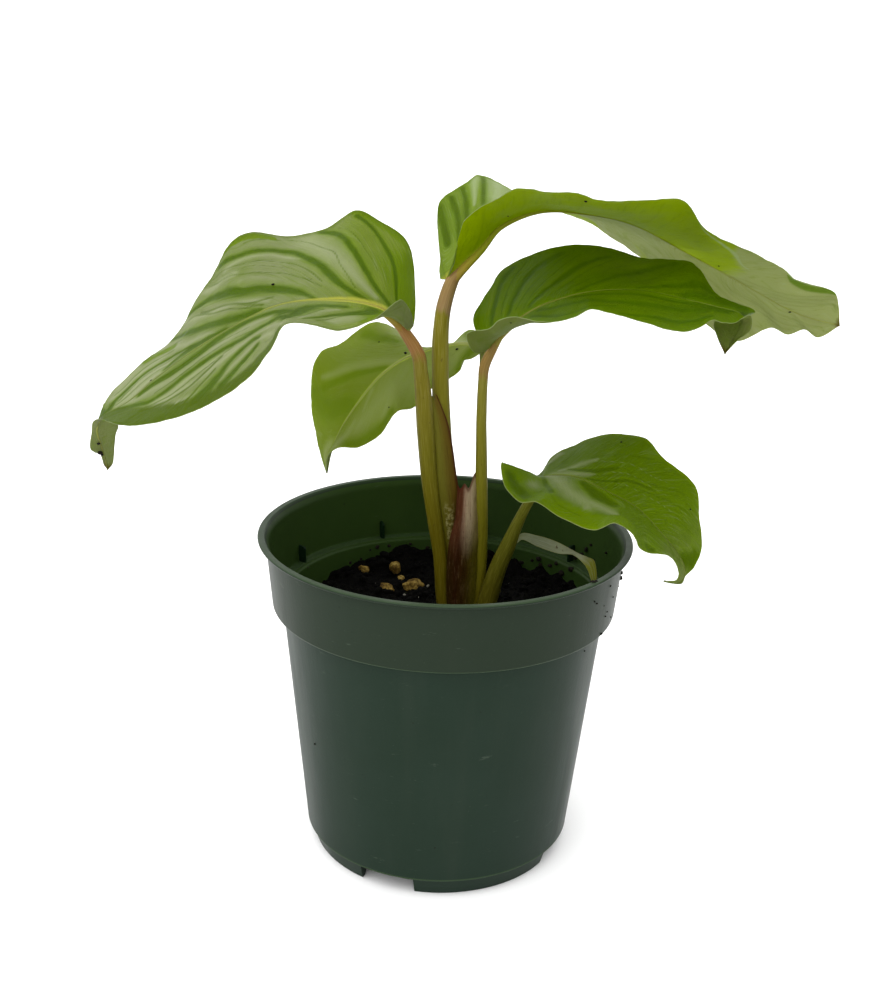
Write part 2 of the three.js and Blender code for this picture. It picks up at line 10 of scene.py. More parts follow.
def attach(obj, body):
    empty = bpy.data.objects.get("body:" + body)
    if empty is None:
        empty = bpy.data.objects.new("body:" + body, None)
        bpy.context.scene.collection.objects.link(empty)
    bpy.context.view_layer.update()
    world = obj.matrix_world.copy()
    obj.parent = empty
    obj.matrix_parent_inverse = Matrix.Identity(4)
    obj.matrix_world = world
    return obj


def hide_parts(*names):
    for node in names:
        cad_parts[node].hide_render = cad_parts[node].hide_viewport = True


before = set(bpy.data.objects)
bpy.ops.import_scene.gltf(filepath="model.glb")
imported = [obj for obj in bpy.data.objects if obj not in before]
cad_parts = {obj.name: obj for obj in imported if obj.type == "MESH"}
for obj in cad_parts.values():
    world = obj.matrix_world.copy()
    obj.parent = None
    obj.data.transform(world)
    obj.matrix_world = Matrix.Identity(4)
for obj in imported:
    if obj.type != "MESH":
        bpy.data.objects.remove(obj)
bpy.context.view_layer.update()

MM = 0.001

# Leaves: midrib, and both margins as x, y, z, share of the midrib where the vein starts, curl of the vein

LEAVES = {
    "left": {
        "midrib": [(-18, 0, 237), (-22, -1, 241), (-31, -2, 247), (-47, -6, 250), (-72, -12, 248),
         (-97, -18, 235.5), (-117.5, -23, 221), (-132, -26, 209), (-143, -22, 202), (-148, -14, 194),
         (-148, -9, 185), (-146, -8, 174)],
        "left": [(-16, -4, 240, 0), (-17, -11, 247, 0, -0.1), (-20, -18, 253, 0, -0.15),
         (-22, -24, 254, 0.02, -0.15), (-30, -35, 249, 0.09, -0.1), (-43, -50, 247, 0.18),
         (-56, -59, 251, 0.27), (-63, -61, 250.5, 0.31), (-68.5, -61, 240.5, 0.37), (-80, -60, 227, 0.46),
         (-98, -56, 215, 0.58), (-117, -52, 208, 0.69), (-132, -41, 204, 0.79), (-144, -23, 201, 0.86),
         (-149.5, -14.5, 197, 0.89), (-151, -12, 191.5, 0.92), (-152, -12, 186, 0.945),
         (-151.5, -11.5, 183.5, 0.955), (-149, -10, 182.5, 0.965), (-148, -9, 179.5, 0.98),
         (-147.5, -8.5, 176.5, 0.99), (-146, -8, 174, 1)],
        "right": [(-16, 3, 240, 0), (-16, 19, 248, 0), (-18.5, 34, 263.5, 0.02), (-22, 38, 270.5, 0.05),
         (-33, 41, 277, 0.1), (-44, 43, 281, 0.16), (-56, 44, 273, 0.22), (-73, 42, 269, 0.3),
         (-89, 35, 271, 0.37), (-98, 31, 266, 0.41), (-105.5, 29, 252, 0.47), (-112, 26, 242.5, 0.52),
         (-119, 14, 229, 0.6), (-131, 1, 219.5, 0.69), (-138, -5, 213, 0.75), (-144, -9, 206.5, 0.79),
         (-144, -17, 203, 0.86), (-140, -10, 195, 0.9), (-142, -7, 189.5, 0.925), (-143, -6, 184.5, 0.945),
         (-143.5, -6, 180, 0.965), (-144, -7, 176.5, 0.985), (-146, -8, 174, 1)],
    },
    "top_right": {
        "midrib": [(-3, 4, 258.5), (3, 3, 265), (10, 3, 272), (18, 5, 281), (33, 8, 287), (48, 12, 287),
         (74, 18, 282), (101, 24, 269), (127, 28, 256), (153, 32, 243), (172, 34, 238)],
        "left": [(-5.5, 6.5, 258, 0), (-6, 11, 261.5, 0), (-6, 17, 267, 0), (-7.5, 26, 276.5, 0.01),
         (-7.5, 34, 285, 0.03), (-5, 38, 288.5, 0.05), (0, 43, 291.5, 0.07), (5, 48, 294, 0.1),
         (9.5, 51, 297, 0.13), (25, 61, 290, 0.2), (43, 66, 282, 0.28), (60, 68, 276, 0.35),
         (72, 69, 269, 0.41), (91, 68, 257, 0.49), (115, 61, 234, 0.61), (130, 47, 227, 0.69),
         (144, 44, 234, 0.76), (151, 40, 232, 0.81), (158, 38, 235, 0.86), (163, 32, 233, 0.92),
         (172, 34, 238, 1)],
        "right": [(-1.5, 1, 261.5, 0), (0.5, -2, 268, 0), (1, -7, 275, 0.02), (2, -12, 280.5, 0.05),
         (3.5, -18, 285.5, 0.08), (9, -27, 292, 0.12), (16, -33, 296.5, 0.17), (22, -37, 300.5, 0.21),
         (28, -38, 301, 0.25), (34, -38, 300, 0.29), (45, -36, 299.5, 0.35), (55, -34, 297, 0.4),
         (75, -27, 297, 0.49), (89, -19, 296, 0.56), (101, -14, 284, 0.62), (121, -4, 275, 0.7),
         (137, 5, 267, 0.77), (144, 11, 262, 0.81), (166, 28, 254, 0.93), (170, 32, 247, 0.97),
         (172, 34, 238, 1)],
    },
    "middle_right": {
        "midrib": [(16, -4, 232), (20, -5, 238), (29, -7, 246), (38, -10, 252), (55, -13, 258),
         (75, -17, 260), (95, -20, 257), (108, -17, 254), (117, -12, 251), (120, -7, 246), (118, -5, 240),
         (114, -6, 232.5)],
        "left": [(13, 0, 233, 0), (9.5, 7, 238, 0), (9, 12, 241.5, 0), (12, 19, 246, 0.02),
         (17, 24, 253, 0.06), (21, 28, 259, 0.1), (31.5, 30, 265, 0.17), (43.5, 30, 269, 0.25),
         (57, 29, 271, 0.34), (67, 27, 270, 0.41), (80, 22, 267, 0.5), (98.5, 11, 268, 0.64),
         (102.5, 8, 265.5, 0.68), (105, 4, 262, 0.7), (109, -2, 256.5, 0.75), (117, -5, 254, 0.8),
         (125, -5, 250.5, 0.85), (121, 1, 247.5, 0.9), (115, 4, 246, 0.93), (110, 2, 244, 0.95),
         (111, -3, 238.5, 0.98), (114, -6, 232.5, 1)],
        "right": [(14, -8, 231, 0), (9, -16, 232.5, 0, -0.1), (6, -24, 241.5, 0.01, -0.15),
         (14, -37, 246.5, 0.07, -0.18), (18, -41, 251, 0.11, -0.2), (24, -44, 253, 0.15, -0.2),
         (35, -50, 252.5, 0.24, -0.15), (46, -52, 255, 0.32, -0.08), (52, -54, 258.5, 0.36, -0.06),
         (59, -54, 257.5, 0.41, -0.03), (73, -53, 254, 0.5), (87, -48, 250, 0.6), (96, -41, 250.5, 0.67),
         (102.5, -33, 252, 0.72), (107, -29, 250.5, 0.75), (113.5, -22, 249, 0.8), (117.5, -18, 250, 0.84),
         (121.5, -14, 250.5, 0.88), (123, -9, 243.5, 0.93), (118.5, -7, 238.5, 0.97), (114, -6, 232.5, 1)],
    },
    "back_left": {
        "midrib": [(15, 24, 225), (7, 26, 227), (-3, 29, 225), (-14, 31, 221), (-23, 33, 216),
         (-32, 35, 208), (-41, 37, 196), (-49, 38, 183), (-54, 38, 171), (-56, 37, 161)],
        "left": [(13, 19, 224, 0), (9, 17, 222, 0.01), (5, 16, 221, 0.04), (4, 15, 217, 0.09),
         (-1, 14, 213, 0.16), (-9, 13, 208, 0.25), (-16, 13, 200, 0.34), (-23, 13, 198, 0.42),
         (-30, 16, 187, 0.53), (-40, 21, 179, 0.66), (-50, 28, 176, 0.8), (-55, 33, 170, 0.9),
         (-56, 37, 161, 1)],
        "right": [(14, 28, 227, 0), (11, 37, 230, 0.01), (6, 49, 227, 0.05), (-2, 54, 218, 0.13),
         (-11, 58, 214, 0.2), (-23, 64, 222, 0.29), (-34, 65, 227, 0.37), (-41, 66, 224.5, 0.42),
         (-52, 66, 216, 0.49), (-61, 65, 212, 0.55), (-65, 62, 203, 0.63), (-65, 59, 185, 0.74),
         (-61, 50, 170, 0.86), (-58, 44, 163, 0.93), (-56, 37, 161, 1)],
    },
    "lower_right": {
        "midrib": [(40, -16, 179), (46, -18, 181), (55, -21, 181), (66, -24, 177), (79, -27, 171),
         (89, -30, 162), (99, -31, 150), (101, -32, 143), (98, -33, 140), (92, -34, 141)],
        "left": [(38, -11, 178, 0), (41, -5, 178.5, 0), (46.5, 5, 183, 0.03), (56, 11, 186, 0.1),
         (66, 10, 191, 0.2), (78, 6, 193, 0.3), (86, 3, 192, 0.38), (93, -1, 185, 0.46),
         (106, -11, 176, 0.58), (108, -17, 163, 0.66), (108, -27, 154, 0.74), (105, -29, 145.5, 0.81),
         (101.5, -31, 142.5, 0.86), (99.5, -33, 139.5, 0.92), (92, -34, 141, 1)],
        "right": [(36, -19, 180, 0), (27, -27, 186, 0), (22, -31, 190, 0), (23, -39, 183, 0.04),
         (29, -45, 178, 0.09), (36, -48, 179, 0.14), (45, -50, 174, 0.24), (59, -53, 170, 0.37),
         (67, -53, 173, 0.45), (74, -52, 169, 0.54), (79, -50, 161, 0.61), (92, -42, 155, 0.74),
         (98, -35, 145, 0.83), (97, -35, 142, 0.9), (92, -34, 141, 1)],
    },
}

# Markings and painted light, as strokes on each half of a blade. A stroke is its width in mm, or its widths
# from
# start to end, and then its points: per cent of the way along the midrib and per cent of the way from the
# midrib to the margin. The dark bars of a half are in their order along it, since the fine veins between
# them follow them.
# The pale strokes are partly the silver bands of the leaves and partly painted sheen and highlights. Outside
# the pale_under strokes, the underside is painted lit yellow-green for light that comes through the leaf.

MARKINGS_AND_PAINTED_LIGHT = {
    ("left", "left"): {
        "dark": [((6, 5, 3, 2, 1.6, 1.2), 10, 20, 11.5, 35, 16, 44, 20, 55, 23.6, 69, 27.2, 83),
         ((4, 8, 9, 6, 2), 17, 22, 23, 22, 26.5, 36, 28.5, 55, 29.8, 75),
         ((3, 5), 39.8, 64, 43.4, 69, 47, 76, 50.6, 83),
         ((2, 4, 7), 38.6, 53.5, 40.4, 49, 43.4, 50, 47, 56, 50.6, 67, 54.2, 76, 57.2, 83),
         ((4, 3.5, 3, 4), 30.5, 69, 32, 52, 35, 43, 38.6, 36, 43.4, 32, 48.2, 30, 53, 30.5, 57.8, 32, 62,
          37, 65, 40.5, 68, 41.7, 71, 33, 74, 21, 76.4, 9.5, 77.6, 1),
         ((9, 5, 4, 4, 3), 30.8, 40, 32, 26, 35, 14, 38.6, 8, 43.4, 6, 48.2, 7, 53, 10.7, 57.8, 12, 62.6,
          10.7, 67.4, 7, 69.8, 5)],
        "zone": [((20, 26, 30), 3, 0, 3, 50, 3, 100), (5, 9.5, 30, 10, 60, 12, 85)],
        "turned": [((9, 12, 14, 14, 12, 11, 7), 34.5, 93, 44, 95, 54, 96, 62, 92, 68, 85, 73, 72, 77, 50,
          79.5, 25), ((7, 8), 80, 0, 80, 50, 80, 100)],
        "pale": [(1.6, 7.4, 10, 7.2, 60, 7.4, 90), ((9, 12, 8), 9, 35, 14, 52, 20, 74),
         ((3, 5, 3), 18.8, 33, 22.4, 45, 25.4, 62, 27.8, 79),
         ((3, 4, 3), 31.5, 88, 33, 68, 36, 50, 40, 42),
         ((3, 6, 7, 5), 34.5, 28, 40, 18, 50, 17, 60, 20, 68, 16, 75, 3),
         ((4, 6, 5, 4), 38, 44, 46, 40, 55, 40, 63, 47, 70, 50, 75, 35),
         ((4, 3, 3), 35, 74, 37, 62, 40, 58, 45, 64, 50, 74), ((3, 4, 4), 42, 42, 50, 47, 57, 53, 66, 55),
         ((2, 3), 50, 68, 56, 72, 62, 72)],
        "line": [(1.4, 48.2, 40, 53, 48, 57.8, 56, 62.6, 60, 67.4, 61, 71, 57),
         (1.2, 50.6, 52, 55.4, 64, 59, 74, 62.6, 76), (0.8, 45, 36, 55, 44, 63, 52, 70, 53),
         (0.9, 36, 42, 43, 25, 50, 22, 58, 25, 66, 30), (0.9, 40, 20, 50, 13, 60, 16, 70, 10),
         ((0.8, 0.7), 14, 40, 19, 60, 24, 84), ((0.8, 0.7), 22, 36, 26, 60, 29, 84)],
    },
    ("left", "right"): {
        "dark": [((1.4, 2.4), 4.8, 21, 5.7, 43, 6.6, 57, 8.4, 71, 10.8, 83, 15.6, 93),
         ((2.6, 2.8), 6.6, 9.5, 9.6, 19, 12, 31, 14.4, 45, 16.5, 58, 18.6, 74, 21, 88, 23.4, 96),
         ((2.6, 3.8, 3.8, 3), 11.4, 2, 15.6, 9.5, 18.6, 19, 21, 33, 23.4, 48, 26.4, 62, 29.4, 73, 32.4,
          76, 36, 75, 39, 76, 41.4, 82, 44.4, 93),
         ((2, 7, 6, 4, 2.8), 24, 2, 28.2, 14, 31.8, 21, 36, 27, 39.6, 32, 42.6, 42, 45.6, 56, 48.6, 70,
          52.2, 82, 55.2, 95),
         ((5, 5, 4, 3), 37.2, 1, 42, 7, 46.8, 17, 50.4, 29, 53.4, 40, 55.8, 55, 57.6, 69, 59.4, 83, 61.2,
          98), ((3, 5, 2), 45.6, 2, 51, 5, 55.8, 9.5, 60, 10.7, 62.4, 7),
         ((1.6, 2.6, 4), 52.8, 7, 56.4, 19, 59.4, 31, 63, 43, 67.2, 51, 71.4, 53.5, 74.4, 50, 76.8, 38,
          78, 21, 78.6, 10), (4, 80.4, 5, 82.2, 29, 84, 52, 85.8, 79, 87, 98)],
        "zone": [((14, 24, 36), 0, 0, 0, 50, 0, 100), ((8, 6, 3), 4, 97, 10, 97, 17, 98),
         ((3, 4, 3), 33, 93, 38, 95, 43, 100), ((4, 5, 4), 60, 60, 63.6, 79, 68, 90)],
        "pale": [((3, 9, 12, 13), 10, 10, 14, 22, 16.5, 34, 19.5, 50, 22.5, 68, 26, 86),
         ((3, 4, 4, 4), 35, 10, 42, 25, 48, 42, 52, 60, 55, 80, 57, 97),
         (4, 41, 60, 44, 70, 48, 84, 50, 96),
         ((3, 5, 6, 5, 5), 49, 8, 55, 25, 58, 42, 60, 58, 62, 75, 64, 95),
         ((6, 9, 8), 58, 14, 64, 25, 70, 35, 75, 30), ((4, 6, 4), 63, 6, 70, 12, 76, 12),
         ((6, 9, 7), 63, 62, 70, 66, 77, 60), (6, 70, 85, 76, 85),
         ((2.4, 3, 3), 28, 62, 33, 69, 38, 69, 43, 76)],
        "line": [((1.4, 1.2), 33.6, 12, 38.4, 14, 42, 24, 45.6, 38, 49.2, 52, 51, 62),
         ((1.4, 1.2), 36, 7, 40.8, 14, 44.4, 26, 48, 40, 51, 57, 52.8, 69, 55.2, 81, 58.2, 95),
         (0.8, 9.9, 40, 11.4, 50, 14.4, 64, 17.4, 79, 19.8, 90),
         (1, 15, 14, 18.6, 40, 20.4, 60, 23.4, 74, 26.4, 86, 30, 92, 33.6, 90.5, 38.4, 88),
         ((1.1, 1), 22.8, 26, 25.8, 43, 30, 57, 34.2, 61, 38.4, 63, 41.4, 71, 44.4, 83, 47.4, 95),
         ((1.1, 1), 22.8, 19, 27, 33, 31.2, 43, 35.4, 46, 39, 51, 42, 62, 45, 74, 48, 90),
         (0.7, 25, 30, 30, 50, 36, 56, 40, 60, 44, 75), (0.9, 45, 14, 50, 22, 54, 36, 57, 50, 60, 68),
         (0.9, 56, 12, 62, 28, 68, 40, 73, 40, 76, 25), (0.9, 60, 10, 66, 22, 72, 25, 76.5, 12),
         (0.9, 60, 50, 65, 66, 71, 72, 77, 66)],
    },
    ("top_right", "left"): {
        "dark": [((3, 4), 2.8, 40, 3, 70, 3, 97), ((2, 3), 5.5, 30, 6.2, 60, 6, 92),
         ((2, 2.6), 7.8, 45, 8.6, 70, 8.5, 95), (2, 12.8, 50, 13.7, 75, 14, 95),
         ((1, 1.4), 42, 5, 50, 30, 60, 60, 66, 90), ((1, 1.4), 60, 5, 68, 30, 76, 60, 82, 90),
         ((1, 1.4), 74, 5, 80, 30, 86, 60, 90, 90)],
        # pale strokes on the far lobe: painted sheen
        "pale": [((1.5, 3, 5), 10.5, 60, 11, 70, 12, 97), ((6, 10, 12), 16, 45, 16.5, 70, 17, 97)],
        # pale_under: where the underside keeps its pale colour; the rest of it is painted lit yellow-green
        "pale_under": [((10, 16, 20), 34, 12, 40, 50, 44, 90),
         ((26, 60, 70, 40), 42, 20, 60, 30, 80, 35, 95, 30)],
        "line": [(0.8, 36, 10, 40, 40, 44, 80), (0.8, 40, 10, 46, 40, 50, 80),
         (0.8, 50, 5, 58, 30, 68, 60, 74, 90), (0.8, 66, 5, 73, 30, 80, 60, 86, 90)],
    },
    ("top_right", "right"): {
        "dark": [((1.2, 1.6), 8, 10, 11, 40, 13, 90), ((1.2, 1.6), 20, 8, 22, 40, 23, 90),
         ((1.2, 1.6), 32, 5, 35, 40, 36, 90), ((1.2, 1.6), 46, 5, 50, 40, 52, 90),
         ((1.2, 1.6), 58, 5, 63, 40, 66, 90), ((1.2, 1.4), 72, 5, 80, 30, 88, 60, 93, 90),
         ((1, 1.2), 84, 5, 90, 30, 94, 60, 97, 90)],
        # pale_under: where the underside keeps its pale colour; the rest of it is painted lit yellow-green
        "pale_under": [((66, 62), 86, 0, 86, 50, 86, 100), ((24, 30, 34), 72, 100, 75, 85, 79, 70, 84, 50)],
        # the first pale stroke, along the fold of this half, is a painted highlight
        "pale": [((1, 1.8, 2.2, 2, 1.4, 0.8), 60, 99, 62, 92, 65, 88, 67.8, 75, 70.8, 53, 73, 48),
         ((1, 1.2, 0.6), 79, 99, 83, 99, 87, 99)],
        "turned": [((1.2, 4.2, 4.6, 3.4, 1.2), 79, 97, 83, 88, 86, 86, 90, 92, 94, 99),],
        "line": [(0.8, 15, 5, 17, 40, 18, 90), (0.8, 27, 5, 29, 40, 30, 90), (0.8, 40, 5, 43, 40, 45, 90),
         (0.8, 76, 5, 84, 30, 91, 60, 95, 90), (0.8, 80, 5, 86, 25, 92, 50, 96, 80)],
    },
    ("middle_right", "left"): {
        "dark": [((2, 3), 3, 35, 5, 55, 8, 75, 13, 90),
         ((2.4, 3.6, 4), 9.5, 20, 13, 40, 17, 60, 22, 75, 27, 85),
         ((2, 3.6, 3), 17, 8, 24, 27, 30, 45, 35, 62, 41, 78),
         ((2, 4.4, 5), 32, 5, 38, 17, 44, 33, 50, 55, 55, 75, 60, 88),
         ((2, 6, 8), 50, 5, 57, 20, 65, 40, 70, 65, 73, 90), ((5, 12, 14), 64, 8, 71, 30, 76, 60, 80, 90)],
        "pale": [((3, 4), 13, 10, 10, 20, 7.5, 35), ((3, 4), 3, 60, 6, 85), ((4, 5), 3, 30, 6, 50),
         ((8, 15, 18, 12), 24, 30, 34, 52, 44, 66, 52, 75)],
        "line": [(0.8, 7, 30, 11, 60, 17, 90), (0.8, 12, 16, 19, 44, 29, 80),
         (0.7, 15, 12, 22, 40, 33, 80), (0.8, 24, 10, 33, 35, 42, 70, 47, 92),
         (0.7, 28, 8, 37, 30, 46, 65, 52, 90), (0.8, 42, 8, 52, 33, 60, 65, 64, 90),
         (0.8, 60, 5, 70, 25, 76, 50, 79, 80)],
    },
    ("middle_right", "right"): {
        "dark": [((2, 3, 2), 17, 18, 24, 40, 30, 62, 36, 68, 43, 64),
         ((2, 3.4, 2), 44, 90, 50.5, 80, 60.6, 72, 72, 72),
         ((2, 5, 5, 3), 20, 10, 28, 20, 35, 30, 40, 42, 50, 46, 60, 38, 70, 30, 78, 20),
         ((1.5, 3, 3, 2), 30, 5, 38, 14, 48, 17, 58, 15, 70, 10, 80, 8)],
        "line": [(0.8, 34, 14, 42, 27, 52, 30, 62, 24, 74, 16),
         (0.8, 30, 30, 38, 48, 48, 55, 60, 50, 74, 42), (0.8, 36, 80, 45, 70, 55, 60, 68, 55),
         (0.8, 50, 90, 58, 82, 68, 84)],
    },
    ("back_left", "left"): {
        # pale patches on this leaf: partly its own paler tone, partly painted sheen
        "pale": [((6, 8), 8, 10, 10, 40, 14, 75), ((9, 13, 9), 36, 20, 42, 50, 50, 75),
         ((5, 9), 68, 35, 76, 60, 82, 80), ((4, 3), 55, 10, 62, 30),
         ((14, 18, 18, 14), 3, 45, 20, 50, 35, 50, 50, 45, 65, 50)],
        "dark": [((3, 5), 2, 10, 4, 50, 8, 100), ((4, 6, 4), 45, 90, 60, 92, 74, 90)],
    },
    ("back_left", "right"): {
        # pale patches on this leaf: partly its own paler tone, partly painted sheen
        "pale": [((7, 8), 12, 10, 11, 50, 10, 95), ((3, 6, 6, 3), 39, 3, 45, 20, 53, 42, 60, 62, 63, 78),
         ((4, 7), 30, 60, 34, 90), (6, 86, 20, 90, 60)],
        "dark": [((3, 5), 4, 0, 4, 50, 4, 100), ((3, 5), 35, 45, 40, 60, 43, 85),
         ((2, 4), 45, 4, 53, 25, 60, 45, 66, 70), ((8, 12), 68, 10, 72, 50, 70, 90)],
    },
    ("lower_right", "left"): {
        # the wider pale patches on this leaf are painted sheen; the thin strokes are pale veins
        "pale": [((2.5, 4, 4, 1.5), 8, 12, 12, 20, 17, 34, 23, 47),
         ((4, 5, 4, 1.5), 5, 3, 12, 5, 18, 9, 24, 18), ((3, 4), 2, 70, 5, 85),
         ((0.6, 0.4), 20, 40, 30, 48, 42, 56, 52, 70), ((0.6, 0.4), 22, 24, 32, 32, 44, 42, 54, 50),
         ((0.5, 0.4), 26, 10, 38, 20, 50, 28, 60, 38)],
        "dark": [((1.6, 3, 2), 12, 17, 18, 19, 25, 26, 32, 40),
         ((1.2, 2, 1.4), 22, 5, 30, 14, 40, 30, 50, 44), ((7, 11), 79, 30, 79, 60, 78, 90)],
        "line": [(0.8, 5, 20, 9, 50, 14, 90), (0.8, 24, 16, 36, 32, 48, 50, 58, 75),
         (0.8, 20, 48, 28, 60, 38, 68, 44, 85), (0.8, 34, 10, 46, 30, 58, 50, 64, 75)],
    },
    ("lower_right", "right"): {
        # the pale patches on this half are painted sheen
        "pale": [((5, 10, 13, 11), 2, 5, 8, 14, 13, 26, 19, 40, 25, 46),
         ((10, 9, 6, 2), 22, 40, 30, 42, 37, 45, 43, 60), ((5, 6), 24, 42, 29, 50, 30, 60),
         ((6, 8), 3, 40, 6, 50)],
        "dark": [((2, 2.6), 5, 20, 10, 40, 14, 58), ((4, 8, 4), 22, 10, 30, 18, 39, 25),
         ((6, 7), 2, 80, 8, 80), ((4, 6), 62, 75, 65, 90)],
        "zone": [((12, 16, 14), 0, 35, 0, 70, 0, 100), ((9, 13, 12, 8), 12, 78, 22, 84, 36, 82, 50, 80)],
        "line": [(0.8, 12, 55, 16, 70, 20, 78, 30, 80), (0.8, 70, 10, 74, 50, 76, 90),
         (0.8, 78, 10, 80, 50, 81, 90)],
    },
}
FAMILIES = ("dark", "pale", "zone", "line", "pale_under", "turned")

# Leaf colours, as they look in daylight. The base turns into the far colour along the blade between the
# shares given by turn; the midrib shows as a band whose half width follows rib_band. The lit yellow-green of
# an underside is painted light, for light that comes through the leaf.

LEAF_COLOURS = {
    "left": {
        "base": (107, 122, 43), "far": (120, 127, 87), "varied": (94, 112, 42), "pale": (149, 153, 121),
        "zone": (90, 113, 3), "dark": (59, 82, 4), "margin": (64, 81, 5), "rib": (177, 175, 72),
        "under": (114, 117, 81), "painted_through_light": (101, 114, 46), "turn": (0.12, 0.34),
        "rib_band": [(0, 2.5), (0.18, 2.2), (0.3, 0.9), (0.45, 0.35), (1, 0.2)]},
    "top_right": {
        "base": (109, 129, 43), "far": (100, 119, 38), "varied": (89, 111, 29), "pale": (158, 168, 131),
        "zone": (76, 101, 13), "dark": (65, 85, 9), "margin": (85, 108, 22), "rib": (153, 155, 56),
        "under": (142, 145, 96), "painted_through_light": (133, 151, 0), "turn": (0.2, 0.6),
        "rib_band": [(0, 2.6), (0.08, 1.8), (0.2, 0.8), (0.5, 0.5), (1, 0.35)]},
    "middle_right": {
        "base": (86, 112, 0), "far": (71, 95, 0), "varied": (79, 103, 0), "pale": (99, 119, 3),
        "zone": (73, 98, 0), "dark": (54, 80, 0), "margin": (82, 104, 2), "rib": (96, 125, 7),
        "under": (99, 104, 56), "painted_through_light": (94, 104, 50), "turn": (0.1, 0.5),
        "rib_band": [(0, 1.8), (0.3, 1.0), (0.42, 0.5), (0.6, 0.15), (1, 0.1)]},
    "back_left": {
        "base": (125, 138, 63), "far": (104, 120, 19), "varied": (113, 129, 40), "pale": (140, 149, 87),
        "zone": (103, 123, 20), "dark": (95, 115, 8), "margin": (113, 129, 24), "rib": (179, 189, 84),
        "under": (128, 138, 84), "painted_through_light": (112, 124, 50), "turn": (0.3, 0.7),
        "rib_band": [(0, 1.7), (0.4, 1.1), (0.7, 0.7), (1, 0.3)]},
    "lower_right": {
        "base": (78, 101, 0), "far": (95, 106, 53), "varied": (74, 95, 0), "pale": (137, 144, 104),
        "zone": (90, 114, 0), "dark": (63, 84, 0), "margin": (101, 121, 2), "rib": (99, 120, 23),
        "under": (118, 126, 74), "painted_through_light": (96, 108, 40), "turn": (0.62, 0.76),
        "rib_band": [(0, 1.3), (0.3, 0.5), (1, 0.25)]},
}
LIGHT_THROUGH = (196, 222, 30)
UPPER_RIM = (138, 145, 101)
UNDER_RIM = (145, 152, 112)
DRY_TIP = (70, 40, 20)

# Blades: rows of the mesh round the lobes and along the blade, its columns from the midrib to the margin,
# thickness, depth of the bars, waves of the margin, points along a stroke, and the shape of the midrib

LOBE_ROWS = 34
BLADE_ROWS = 236
COLUMNS = {"left": 60, "top_right": 40, "middle_right": 44, "back_left": 34, "lower_right": 40}
THICKNESS = 0.5
EDGE_THICKNESS = 0.2
QUILT = 0.22
RIPPLE = 0.5
STROKE_STEPS = 160
FAR = 9.0
RIB_START = {"left": 2.3, "top_right": 2.8, "middle_right": 1.9, "back_left": 1.6, "lower_right": 1.7}
RIB_END = 0.3
RIB_SIDES = 16
RIB_ROWS = 110
RIB_FLAT = 0.9
RIB_RISE = 0.35
INNER_COLUMNS = (0, 0.02, 0.045)
OUTER_COLUMNS = (0.97, 0.987, 1)
EDGE_START = 0.86
TIP_FADE = 0.12


# Curves

def curve_through(keys, steady=False):
    """A smooth curve through rows of x, value, value...; steady keeps a rising value from falling back."""
    keys = np.array(keys, float)
    x, value = keys[:, 0], keys[:, 1:]
    last = len(x) - 1
    before, after = np.maximum(np.arange(last + 1) - 1, 0), np.minimum(np.arange(last + 1) + 1, last)
    slope = (value[after] - value[before]) / (x[after] - x[before])[:, None]
    if steady:
        step = np.diff(value, axis=0) / np.diff(x)[:, None]
        same_way = step[:-1] * step[1:] > 0
        total = np.where(same_way, step[:-1] + step[1:], 1)
        slope[1:-1] = np.where(same_way, 2 * step[:-1] * step[1:] / total, 0)

    def at(place):
        place = np.clip(np.asarray(place, float), x[0], x[-1])
        i = np.clip(np.searchsorted(x, place, side="right") - 1, 0, last - 1)
        span = (x[i + 1] - x[i])[..., None]
        t = (place - x[i])[..., None] / span
        return ((2 * t**3 - 3 * t**2 + 1) * value[i] + (t**3 - 2 * t**2 + t) * span * slope[i]
                + (3 * t**2 - 2 * t**3) * value[i + 1] + (t**3 - t**2) * span * slope[i + 1])
    return at


def shares(points):
    """Where each point lies along the line through all of them, as a share of its length."""
    steps = np.linalg.norm(np.diff(points, axis=0), axis=1)
    run = np.concatenate([[0], np.cumsum(steps)])
    return run / run[-1]


def curve_along(points, count=3):
    """A smooth curve through points whose first values, as many as count, are their place."""
    points = np.array(points, float)
    return curve_through(np.column_stack([shares(points[:, :count]), points]))


def unit(vectors):
    return vectors / np.maximum(np.linalg.norm(vectors, axis=-1, keepdims=True), 1e-9)


class Half:
    """One half of a blade: its margin, and the start and curl of the vein that ends at each place on it."""

    def __init__(self, margin, side):
        keys = np.array([(*point, 0)[:5] for point in margin], float)
        keys = np.column_stack([shares(keys[:, :3]), keys])
        foot, curl = curve_through(keys[:, [0, 4]], True), curve_through(keys[:, [0, 5]])
        self.side = side
        self.edge = curve_through(keys[:, :4])
        self.foot = lambda t: foot(t)[..., 0]
        self.curl = lambda t: curl(t)[..., 0]
        places = np.linspace(0, 1, 4001)
        feet = np.maximum.accumulate(self.foot(places))
        self.lobe_end = places[np.searchsorted(feet, 0.001)]
        self.place_of = lambda share: np.interp(share, feet + np.arange(len(places)) * 1e-10, places)


